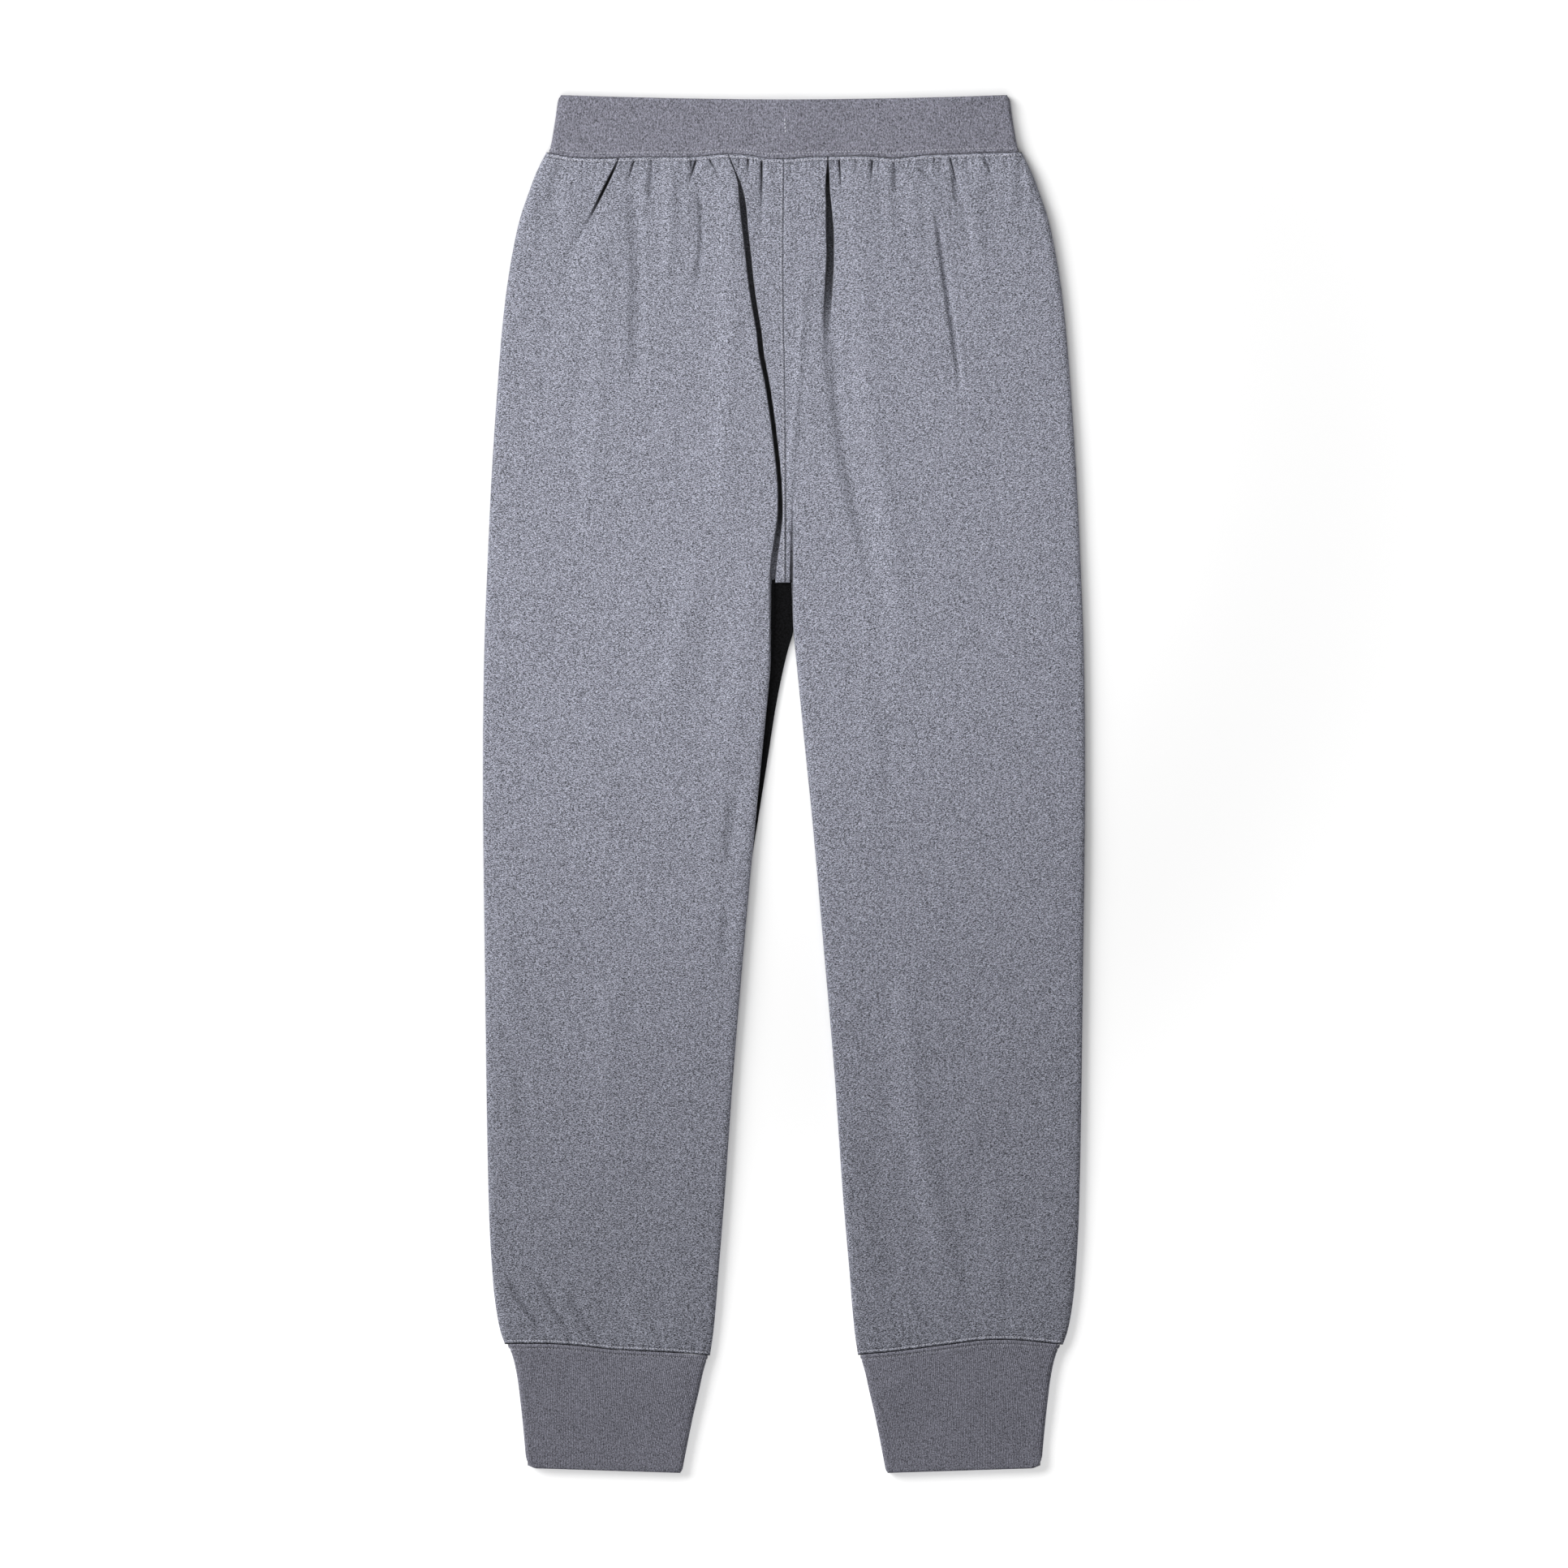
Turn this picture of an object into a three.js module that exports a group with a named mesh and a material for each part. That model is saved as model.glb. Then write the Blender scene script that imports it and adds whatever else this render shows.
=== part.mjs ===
// Fleece joggers lying flat on their front, back side up, in millimetres.
// +Y points to the waist, +X to the wearer's right, +Z up. The origin is under the middle of the garment.
// Two back and two front leg panels, a ribbed waistband tube and two ribbed cuff tubes.
import * as THREE from 'three';

// Cloth and seams
const FLEECE = 2.1;
const WAIST_RIB = 3.4;
const CUFF_RIB = 2.9;
const SEAM_GAP = 0.3;

// Heights above the surface that the garment lies on
const EDGE_LEVEL = 3.8;
const WAIST_HEIGHT = 8.8;
const CUFF_HEIGHT = 7.6;
const FOLD_FLOOR = 2 * FLEECE + SEAM_GAP;

// How far in from a folded edge the cloth curls over
const LEG_CURL = 5.5;
const RIB_CURL = 4.6;

// Ends of the garment and its crotch
const WAIST_TOP = 526.4;
const WAIST_TOP_DIP = 3.4;
const WAIST_CORNER = 3.8;
const HEM_INNER = -526.4;
const HEM_OUTER = -522.6;
const HEM_OUTER_CORNER = 8.7;
const HEM_INNER_CORNER = 2.2;
const CROTCH = { x: -0.9, y: 153.8, halfWidth: 6.5 };

// Side seam, the same on both sides: y, distance from the middle line
const SIDE_SEAM = [
  [484, 180.8], [466, 189.7], [450, 195.6], [435, 200.8], [419, 204.8],
  [388, 210.4], [357, 214.4], [295, 219.5], [233, 223.5], [171, 226.4],
  [103, 229.0], [4, 230.0], [-145, 228.4], [-294, 226.2], [-344, 224.7],
  [-368, 223.2], [-393, 221.0], [-418, 216.6], [-429, 212.8],
];

// Inside-leg seams: y, left leg, right leg
const INSIDE_SEAM = [
  [153.8, -7.4, 5.6], [117, -7.9, 7.3], [78, -11.2, 11.0], [28, -16.2, 16.0],
  [-21, -21.0, 21.0], [-120, -30.2, 29.8], [-220, -38.6, 38.4], [-318, -45.6, 45.3],
  [-368, -49.6, 49.6], [-418, -53.9, 53.9], [-437, -56.6, 56.6],
];

// Centre-back seam: y, x
const CENTRE_BACK = [[484, 0], [392, -0.6], [252, 1.3], [150, 1.2]];
const CENTRE_FRONT = [[484, 0], [150, CROTCH.x]];

// Waist seam on the back: x, y
const WAIST_SEAM = [
  [-182, 482.6], [-163, 479.2], [-142, 478.0], [-109, 479.1], [-71, 479.2], [-42, 481.4], [-28, 480.6],
  [-12, 478.0], [24, 479.2], [64, 479.7], [84, 478.2], [106, 480.4], [138, 481.7], [182, 482.8],
];
const WAIST_LEVEL = 480;

// Cuff seams on the back: distance from the middle line, left y, right y
const CUFF_SEAM = [
  [57, -436.7, -436.0], [86, -434.4, -433.4], [111, -433.1, -430.2],
  [132, -432.0, -427.4], [152, -429.7, -425.0], [177, -427.8, -424.8], [213, -427.6, -428.4],
];
const CUFF_LEVEL = -431;

// Cuff sides: share of its height below the seam, inner side, outer side
const CUFF_SIDES = [
  [0, 58.2, 211.0], [0.06, 59.7, 208.6], [0.15, 61.9, 206.2], [0.3, 64.8, 203.7],
  [0.5, 68.9, 201.5], [0.7, 72.5, 199.6], [1, 77.6, 197.3],
];

// Top of the back cloth between folds: y, height
const BACK_HEIGHT = [
  [484, 8.0], [474, 9.4], [462, 10.0], [440, 9.7], [400, 9.0], [300, 8.5],
  [154, 8.0], [0, 7.6], [-330, 7.6], [-410, 8.0], [-438, 7.2],
];

// Long folds of the back: y, x, half width, depth. Each also guides the columns of its panel.
const LEFT_FOLD = [
  [484, -43.0, 2.2, 1.6], [460, -34.1, 3.0, 3.8], [421, -29.5, 3.4, 4.8], [392, -26.0, 3.4, 4.8],
  [355, -21.1, 3.4, 4.6], [304, -12.4, 3.2, 4.4], [252, -5.2, 3.0, 4.2], [227, -3.2, 2.8, 4.0],
  [202, -3.2, 2.8, 3.6], [187, -5.2, 2.6, 3.2], [165, -8.1, 2.6, 2.6], [150, -8.8, 2.6, 0.8],
];
const LEFT_DIAGONAL = [
  [484, -124.0, 2.0, 0.6], [470, -130.2, 2.6, 3.0], [450, -140.2, 2.8, 3.2], [429, -150.7, 2.8, 1.8],
  [405, -158.0, 3.0, 0.3], [380, -161.0, 3.0, 0], [300, -165.0, 3.0, 0], [150, -168.0, 3.0, 0],
];
const RIGHT_FOLD = [
  [484, 33.5, 2.0, 0.8], [458, 33.5, 2.8, 3.6], [434, 34.7, 3.8, 4.6], [410, 35.3, 4.2, 4.8],
  [386, 34.3, 4.2, 4.2], [363, 33.5, 4.2, 2.6], [330, 33.2, 4.6, 1.2], [300, 31.0, 4.6, 0.5],
  [250, 20.0, 4.0, 0.3], [202, 7.4, 2.6, 0.8], [180, 6.6, 2.4, 1.6], [150, 6.4, 2.4, 0.8],
];
const RIGHT_DIAGONAL = [
  [484, 122.0, 2.0, 0.4], [474, 126.5, 2.6, 1.6], [448, 133.3, 2.8, 1.4], [420, 137.0, 3.2, 0.6],
  [390, 139.0, 3.2, 0], [300, 142.0, 3.2, 0], [150, 146.0, 3.2, 0],
];

// Shorter folds that the waist pulls in: x and y at the top, x and y at the bottom, half width, depth
const SHORT_FOLDS = [
  [-113.5, 476, -118.0, 460, 3.0, 1.6],
  [-72.0, 476, -70.0, 452, 3.0, 2.4],
  [-66.0, 450, -61.0, 412, 5.0, 0.9],
  [-17.0, 476, -18.0, 440, 3.0, 1.8],
  [43.5, 476, 47.0, 448, 2.8, 2.2],
  [67.6, 477, 67.0, 462, 2.8, 1.6],
  [84.0, 475, 85.5, 456, 3.2, 1.2],
  [115.0, 430, 128.0, 350, 6.0, 1.1],
  [152.0, 478, 158.0, 464, 3.0, 1.0],
];

// Between the two long folds the crotch seam lies lower: y, how much lower
const CROTCH_SINK = [[260, 0], [215, 0.6], [180, 1.8], [154, 2.2]];

// Gathers along the waist seam
const GATHER_COLUMNS = 4;
const GATHER_DEPTH = 2.3;
const GATHER_LENGTH = 17;
const GATHER_SHAPE = [1, 0.45, 0, 0.45];

// Colours
const FLEECE_GREY = '#8c8e9a';
const RIB_GREY = '#84848f';

// Smooth curve through the rows of a table, read at a value of its first column
function smooth(table, at, column = 1) {
  const rising = table[table.length - 1][0] > table[0][0];
  const rows = rising ? table : [...table].reverse();
  const value = THREE.MathUtils.clamp(at, rows[0][0], rows[rows.length - 1][0]);
  let i = 0;
  while (i < rows.length - 2 && value > rows[i + 1][0]) i += 1;
  const slope = (a, b) => (rows[b][column] - rows[a][column]) / (rows[b][0] - rows[a][0]);
  const step = rows[i + 1][0] - rows[i][0];
  const here = slope(i, i + 1);
  const startSlope = i > 0 ? (slope(i - 1, i) + here) / 2 : here;
  const endSlope = i < rows.length - 2 ? (here + slope(i + 1, i + 2)) / 2 : here;
  const t = (value - rows[i][0]) / step;
  const curve = t * t * (3 - 2 * t);
  return rows[i][column] * (1 - curve) + rows[i + 1][column] * curve
    + step * startSlope * t * (1 - t) * (1 - t) - step * endSlope * t * t * (1 - t);
}

// Round trough, 1 at its middle and 0 from its half width outwards
function trough(offset, halfWidth) {
  const reach = Math.min(Math.abs(offset) / halfWidth, 1);
  return (1 + Math.cos(Math.PI * reach)) / 2;
}

// Closed mesh from points and triangles, turned so that its faces point outwards
function closedGeometry(points, triangles) {
  const volume = triangles.reduce((sum, [a, b, c]) => (
    sum + points[a].dot(new THREE.Vector3().crossVectors(points[b], points[c]))), 0);
  const ordered = volume > 0 ? triangles : triangles.map(([a, b, c]) => [a, c, b]);
  const geometry = new THREE.BufferGeometry();
  geometry.setAttribute('position', new THREE.Float32BufferAttribute(points.flatMap((p) => p.toArray()), 3));
  geometry.setIndex(ordered.flat());
  geometry.computeVertexNormals();
  return geometry;
}

// Triangles between two rows of points: column by column, or by the shorter way across where the
// rows hold different numbers of points
function stitchRows(points, upper, lower) {
  if (upper.length === lower.length) {
    return upper.slice(1).flatMap((corner, k) => (
      [[upper[k], corner, lower[k + 1]], [upper[k], lower[k + 1], lower[k]]]));
  }
  const triangles = [];
  let i = 0;
  let j = 0;
  while (i < upper.length - 1 || j < lower.length - 1) {
    const acrossUpper = i < upper.length - 1 ? points[upper[i + 1]].distanceTo(points[lower[j]]) : Infinity;
    const acrossLower = j < lower.length - 1 ? points[upper[i]].distanceTo(points[lower[j + 1]]) : Infinity;
    if (acrossUpper <= acrossLower) {
      triangles.push([upper[i], upper[i + 1], lower[j]]);
      i += 1;
    } else {
      triangles.push([upper[i], lower[j + 1], lower[j]]);
      j += 1;
    }
  }
  return triangles;
}

// Cloth wall between an outer and an inner skin, closed round its four borders
function wallGeometry(rows) {
  const points = [];
  const keep = (list) => list.map((point) => points.push(point) - 1);
  const skins = rows.map((row) => ({ outer: keep(row.outer), inner: keep(row.inner) }));
  const triangles = [];
  const quad = (a, b, c, d) => triangles.push([a, b, c], [a, c, d]);
  for (let r = 0; r < skins.length - 1; r += 1) {
    const upper = skins[r];
    const lower = skins[r + 1];
    const toInner = new Map();
    upper.outer.forEach((index, k) => toInner.set(index, upper.inner[k]));
    lower.outer.forEach((index, k) => toInner.set(index, lower.inner[k]));
    const skin = stitchRows(points, upper.outer, lower.outer);
    triangles.push(...skin);
    triangles.push(...skin.map(([a, b, c]) => [toInner.get(a), toInner.get(c), toInner.get(b)]));
    const lastUpper = upper.outer.length - 1;
    const lastLower = lower.outer.length - 1;
    quad(upper.outer[0], lower.outer[0], lower.inner[0], upper.inner[0]);
    quad(upper.outer[lastUpper], upper.inner[lastUpper], lower.inner[lastLower], lower.outer[lastLower]);
  }
  const top = skins[0];
  const bottom = skins[skins.length - 1];
  for (let k = 0; k < top.outer.length - 1; k += 1) {
    quad(top.outer[k], top.inner[k], top.inner[k + 1], top.outer[k + 1]);
  }
  for (let k = 0; k < bottom.outer.length - 1; k += 1) {
    quad(bottom.outer[k], bottom.outer[k + 1], bottom.inner[k + 1], bottom.inner[k]);
  }
  return closedGeometry(points, triangles);
}

// Nearest free edge of a leg: how far away it is, and the way from it into the cloth
function nearestEdge(side, x, y) {
  const fromSide = { distance: smooth(SIDE_SEAM, y) - side * x, inward: [-side, 0] };
  const aside = Math.max(side * (x - CROTCH.x) - CROTCH.halfWidth, 0);
  const above = y - CROTCH.y;
  let fromInside;
  if (above < 0) {
    fromInside = { distance: side * (x - smooth(INSIDE_SEAM, y, side < 0 ? 1 : 2)), inward: [side, 0] };
  } else {
    const distance = Math.hypot(aside, above);
    const inward = distance > 0 ? [side * aside / distance, above / distance] : [0, 1];
    fromInside = { distance, inward };
  }
  return fromSide.distance < fromInside.distance ? fromSide : fromInside;
}

// Pair of points, on the outside and the inside of a panel, at one place of its plan.
// level is where the panel's edge lies and flat is its height where it lies flat.
function panelPoint(side, x, y, level, flat, inwards) {
  const edge = nearestEdge(side, x, y);
  const turn = Math.acos(1 - THREE.MathUtils.clamp(edge.distance / LEG_CURL, 0, 1));
  const shift = FLEECE * Math.cos(turn);
  const outer = new THREE.Vector3(x, y, level + (flat - level) * Math.sin(turn));
  const inner = new THREE.Vector3(
    x + edge.inward[0] * shift,
    y + edge.inward[1] * shift,
    level + (flat + inwards * FLEECE - level) * Math.sin(turn),
  );
  return { outer, inner };
}

// Height of the back cloth, folds and all, apart from the gathers
function backHeight(x, y, folds) {
  let height = smooth(BACK_HEIGHT, y);
  for (const fold of folds) {
    const depth = Math.max(smooth(fold, y, 3), 0);
    height -= depth * trough(x - smooth(fold, y, 1), smooth(fold, y, 2));
  }
  for (const [topX, topY, lowX, lowY, halfWidth, depth] of SHORT_FOLDS) {
    const share = (topY - y) / (topY - lowY);
    const ends = trough(share - 0.45, 0.75);
    height -= depth * ends * trough(x - THREE.MathUtils.lerp(topX, lowX, share), halfWidth);
  }
  if (y < CROTCH_SINK[0][0] && y > CROTCH.y - LEG_CURL) {
    const left = smooth(LEFT_FOLD, y);
    const right = smooth(RIGHT_FOLD, y);
    const inStrip = THREE.MathUtils.smoothstep(x, left - 1, left + 1)
      - THREE.MathUtils.smoothstep(x, right - 1, right + 1);
    height -= smooth(CROTCH_SINK, y) * inStrip;
  }
  return height;
}

// Depth of the gather that a column of the top rows belongs to
function gatherDepth(column, drop) {
  const gather = Math.round(column / GATHER_COLUMNS);
  const depth = GATHER_DEPTH * (0.7 + 0.4 * Math.sin(2.3 * gather + 0.6));
  const length = GATHER_LENGTH * (1 + 0.55 * Math.sin(1.7 * gather + 2.1));
  return depth * GATHER_SHAPE[column % GATHER_COLUMNS] * Math.exp(-((drop / length) ** 1.4));
}

// Rows of the legs above the crotch: height on the inner side, and on the outer side
const CURL_STEPS = [90, 60, 30, 0].map((degrees) => 1 - Math.cos(THREE.MathUtils.degToRad(degrees)));
const SEAT_ROWS = [404, 380, 355, 330, 304, 278, 252, 230, 212, 196, 182, 170].map((y) => [y, y]);
const CROTCH_ROWS = CURL_STEPS.map((step, i) => [CROTCH.y + LEG_CURL * step, CROTCH.y + 5 - 4 * i]);
// Rows of the legs below it
const CROTCH_STEP = 2.3;
const THIGH_ROWS = [[CROTCH.y - CROTCH_STEP, 139], [141, 130], [124, 116], [103, 98]];
const LEG_ROWS = [70, 36, 0, -38, -78, -120, -163, -206, -248, -288, -320, -344, -366, -386, -402, -415, -425]
  .map((y) => [y, y]);
const HEM_ROW = [[CUFF_LEVEL, CUFF_LEVEL]];

// y on a row of a panel, which follows the waist seam at the top and the cuff seam at the bottom
function rowHeight(row, x, share, seamAt) {
  const nominal = THREE.MathUtils.lerp(row[0], row[1], share);
  const nearWaist = THREE.MathUtils.clamp(1 - (WAIST_LEVEL - nominal) / 60, 0, 1);
  const nearCuff = THREE.MathUtils.clamp(1 - (nominal - CUFF_LEVEL) / 60, 0, 1);
  return nominal + nearWaist * (seamAt.waist(x) - WAIST_LEVEL - SEAM_GAP / 2)
    + nearCuff * (seamAt.cuff(x) - CUFF_LEVEL + SEAM_GAP / 2);
}

// x at which a row meets an edge of its panel, given as x for each y
function onEdge(row, share, seamAt, edgeAt) {
  let x = edgeAt(row[share]);
  for (let pass = 0; pass < 6; pass += 1) {
    x = edgeAt(rowHeight(row, x, share, seamAt));
  }
  return x;
}

// Plan of one row: x of each column, from the inner side to the outer one.
// guides are the x that the columns keep to, counts the columns between them, and packing how much
// closer they stand beside a guide.
function rowColumns(start, guides, end, counts, packing, startCurls) {
  const outward = Math.sign(end - start);
  const curl = CURL_STEPS.slice(1);
  const first = startCurls ? [...curl].reverse().map((step) => start + outward * LEG_CURL * step) : [];
  const from = startCurls ? start + outward * LEG_CURL : start;
  const stops = [from, ...guides, end - outward * LEG_CURL];
  const columns = [...first];
  for (let s = 0; s < stops.length - 1; s += 1) {
    for (let k = 0; k < counts[s]; k += 1) {
      const share = k / counts[s];
      const packed = share - packing * Math.sin(2 * Math.PI * share) / (2 * Math.PI);
      columns.push(THREE.MathUtils.lerp(stops[s], stops[s + 1], packed));
    }
  }
  columns.push(stops[stops.length - 1]);
  curl.forEach((step) => columns.push(end - outward * LEG_CURL * step));
  return columns;
}

// One leg panel. skin gives its points; plan gives its centre seam, guides and columns per band.
function panelGeometry(side, seamAt, plan, skin) {
  const rows = [];
  const addRow = (row, start, guides, band, startCurls) => {
    const end = onEdge(row, 1, seamAt, (y) => side * smooth(SIDE_SEAM, y));
    const columns = rowColumns(start, guides, end, band.counts, band.packing, startCurls);
    const pairs = columns.map((x, k) => {
      const y = rowHeight(row, x, (x - start) / (end - start), seamAt);
      return skin(x, y, band.gathered ? gatherDepth(k, WAIST_LEVEL - row[1]) : 0);
    });
    rows.push({ outer: pairs.map((pair) => pair.outer), inner: pairs.map((pair) => pair.inner) });
  };
  const centre = (y) => smooth(plan.centre, y) + side * SEAM_GAP / 2;
  const guidesAt = (y) => plan.guides.map((guide) => smooth(guide, y));
  for (const band of plan.bands) {
    for (const row of band.rows) {
      addRow(row, centre(row[0]), guidesAt(row[0]), band, false);
    }
  }
  for (const row of [...THIGH_ROWS, ...LEG_ROWS, ...HEM_ROW]) {
    const start = onEdge(row, 0, seamAt, (y) => smooth(INSIDE_SEAM, y, side < 0 ? 1 : 2));
    addRow(row, start, [], { counts: [plan.legColumns], packing: 0, gathered: false }, true);
  }
  return wallGeometry(rows);
}

// Back panels, with the gathers and folds
const GATHER_ROWS = [480, 477, 472, 464, 452, 436].map((y) => [y, y]);
const BLEND_ROWS = [[420, 420]];

function backPanel(side) {
  const left = side < 0;
  const folds = left ? [LEFT_FOLD, LEFT_DIAGONAL] : [RIGHT_FOLD, RIGHT_DIAGONAL];
  const seamAt = {
    waist: (x) => smooth(WAIST_SEAM, x),
    cuff: (x) => smooth(CUFF_SEAM, Math.abs(x), left ? 1 : 2),
  };
  const plan = {
    centre: CENTRE_BACK,
    guides: folds,
    legColumns: 8,
    bands: [
      { rows: GATHER_ROWS, counts: [16, 36, 20], packing: 0.45, gathered: true },
      { rows: BLEND_ROWS, counts: [10, 16, 8], packing: 0.7, gathered: false },
      { rows: SEAT_ROWS, counts: [6, 10, 4], packing: 0.8, gathered: false },
      { rows: CROTCH_ROWS, counts: [5, 10, 3], packing: 0.8, gathered: false },
    ],
  };
  const level = EDGE_LEVEL + SEAM_GAP / 2;
  return panelGeometry(side, seamAt, plan, (x, y, gather) => {
    const flat = Math.max(backHeight(x, y, folds) - gather, FOLD_FLOOR);
    return panelPoint(side, x, y, level, flat, -1);
  });
}

// Front panels, flat where they lie on the surface
const FRONT_ROWS = [480, 466, 450, 434, 418, 388, 355, 304, 252, 200, 172].map((y) => [y, y]);

function frontSeamY(x) {
  return WAIST_SEAM[0][1] - 3 * (1 - (x / WAIST_SEAM[0][0]) ** 2);
}

function frontCuffY(x) {
  return THREE.MathUtils.mapLinear(Math.abs(x), CUFF_SEAM[0][0], 213, -436.3, -428);
}

function frontPanel(side) {
  const besideCrotch = CROTCH.x + side * (CROTCH.halfWidth + LEG_CURL);
  const plan = {
    centre: CENTRE_FRONT,
    guides: [[[WAIST_LEVEL, besideCrotch], [CROTCH.y, besideCrotch]]],
    legColumns: 4,
    bands: [
      { rows: FRONT_ROWS, counts: [1, 4], packing: 0, gathered: false },
      { rows: CROTCH_ROWS, counts: [5, 4], packing: 0, gathered: false },
    ],
  };
  const level = EDGE_LEVEL - SEAM_GAP / 2;
  return panelGeometry(side, { waist: frontSeamY, cuff: frontCuffY }, plan, (x, y) => (
    panelPoint(side, x, y, level, 0, 1)));
}

// Columns once round a flattened tube: which end they curl round, how far, and on which layer they lie
function tubeColumns(backColumns, frontColumns) {
  const columns = [];
  const turns = [0, 30, 60].map((degrees) => THREE.MathUtils.degToRad(degrees));
  const addLayer = (layer, count) => {
    const middle = Array.from({ length: count + 1 }, (unused, k) => ({ end: 0, share: k / count, layer }));
    const opening = turns.map((turn) => ({ end: -1, turn, layer }));
    const closing = turns.map((turn) => ({ end: 1, turn, layer })).reverse();
    return [...opening, ...middle, ...closing];
  };
  columns.push(...addLayer(1, backColumns));
  columns.push(...addLayer(-1, frontColumns).slice(1, -1).reverse());
  return columns;
}

// Flattened rib tube: its outside from the seam to the folded rim, and its inside back again.
// sides(v) gives its two ends, seam(x, layer) and rim(x) its y at the seam and at the rim.
function ribTube({ thickness, height, sides, seam, rim, columns, levels }) {
  const point = (column, share, depth) => {
    const [low, high] = sides(share);
    const reach = depth * thickness;
    const across = (offset) => {
      if (column.end < 0) return low + offset + (RIB_CURL - offset) * (1 - Math.cos(column.turn));
      if (column.end > 0) return high - offset - (RIB_CURL - offset) * (1 - Math.cos(column.turn));
      return THREE.MathUtils.lerp(low + RIB_CURL, high - RIB_CURL, column.share);
    };
    const rise = column.end === 0 ? 1 : Math.sin(column.turn);
    const z = height / 2 + column.layer * (height / 2 - reach) * rise;
    const y = THREE.MathUtils.lerp(seam(across(0), column.layer), rim(across(0)), share);
    return new THREE.Vector3(across(reach), y, z);
  };
  const rimTurns = [45, 90, 135].map((degrees) => THREE.MathUtils.degToRad(degrees));
  const rimStep = (turn) => ({
    share: 1,
    depth: (1 - Math.cos(turn)) / 2,
    lift: (Math.sin(turn) - 1) * thickness / 2,
  });
  const profile = [
    ...levels.map((share) => ({ share, depth: 0, lift: share === 1 ? -thickness / 2 : 0 })),
    ...rimTurns.map(rimStep),
    { share: 1, depth: 1, lift: -thickness / 2 },
    { share: 0, depth: 1, lift: 0 },
  ];
  const rimSide = Math.sign(rim(0) - seam(0, 1));
  const points = [];
  const triangles = [];
  for (const step of profile) {
    for (const column of columns) {
      const place = point(column, step.share, step.depth);
      place.y += rimSide * step.lift;
      points.push(place);
    }
  }
  for (let i = 0; i < profile.length; i += 1) {
    const next = (i + 1) % profile.length;
    for (let j = 0; j < columns.length; j += 1) {
      const beside = (j + 1) % columns.length;
      const a = i * columns.length + j;
      const b = i * columns.length + beside;
      const c = next * columns.length + beside;
      const d = next * columns.length + j;
      triangles.push([a, b, c], [a, c, d]);
    }
  }
  return closedGeometry(points, triangles);
}

// How far a rounded corner draws an edge back, at a distance from the corner's end
function cornerDraw(distance, radius) {
  const inside = THREE.MathUtils.clamp(radius - distance, 0, radius);
  return radius - Math.sqrt(radius * radius - inside * inside);
}

const WAIST_HALF_TOP = 172.7;
const WAIST_HALF_SEAM = 179.6;

function waistband() {
  return ribTube({
    thickness: WAIST_RIB,
    height: WAIST_HEIGHT,
    sides: (share) => {
      const half = THREE.MathUtils.lerp(WAIST_HALF_SEAM, WAIST_HALF_TOP, share ** 0.75);
      return [-half, half];
    },
    seam: (x, layer) => (layer > 0 ? smooth(WAIST_SEAM, x) : frontSeamY(x)) + SEAM_GAP / 2,
    rim: (x) => {
      const share = Math.min(Math.abs(x) / WAIST_HALF_TOP, 1);
      const dip = WAIST_TOP_DIP * (1 - share ** 1.8);
      return WAIST_TOP - dip - cornerDraw(WAIST_HALF_TOP - Math.abs(x), WAIST_CORNER);
    },
    columns: tubeColumns(44, 16),
    levels: [0, 0.12, 0.5, 1],
  });
}

function cuff(side) {
  const seamColumn = side < 0 ? 1 : 2;
  const innerEnd = CUFF_SIDES[CUFF_SIDES.length - 1][1];
  const outerEnd = CUFF_SIDES[CUFF_SIDES.length - 1][2];
  return ribTube({
    thickness: CUFF_RIB,
    height: CUFF_HEIGHT,
    sides: (share) => {
      const inner = side * smooth(CUFF_SIDES, share, 1);
      const outer = side * smooth(CUFF_SIDES, share, 2);
      return [Math.min(inner, outer), Math.max(inner, outer)];
    },
    seam: (x, layer) => {
      const y = layer > 0 ? smooth(CUFF_SEAM, Math.abs(x), seamColumn) : frontCuffY(x);
      return y - SEAM_GAP / 2;
    },
    rim: (x) => {
      const out = THREE.MathUtils.clamp(Math.abs(x), innerEnd, outerEnd);
      return THREE.MathUtils.mapLinear(out, innerEnd, outerEnd, HEM_INNER, HEM_OUTER)
        + cornerDraw(outerEnd - out, HEM_OUTER_CORNER) + cornerDraw(out - innerEnd, HEM_INNER_CORNER);
    },
    columns: tubeColumns(16, 10),
    levels: [0, 0.08, 0.2, 0.45, 0.75, 1],
  });
}

const fleece = new THREE.MeshStandardMaterial({ color: FLEECE_GREY, roughness: 0.95, metalness: 0 });
const rib = new THREE.MeshStandardMaterial({ color: RIB_GREY, roughness: 0.92, metalness: 0 });

function piece(name, geometry, material) {
  const mesh = new THREE.Mesh(geometry, material);
  mesh.name = name;
  return mesh;
}

const joggers = new THREE.Group();
joggers.add(
  piece('back_left', backPanel(-1), fleece),
  piece('back_right', backPanel(1), fleece),
  piece('front_left', frontPanel(-1), fleece),
  piece('front_right', frontPanel(1), fleece),
  piece('waistband', waistband(), rib),
  piece('cuff_left', cuff(-1), rib),
  piece('cuff_right', cuff(1), rib),
);

export default joggers;
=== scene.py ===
"""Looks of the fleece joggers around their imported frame. Lengths in the tables are in millimetres.

+Y points to the waist, +X to the wearer's right, +Z up; the back of the garment faces up.
"""

import math

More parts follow.
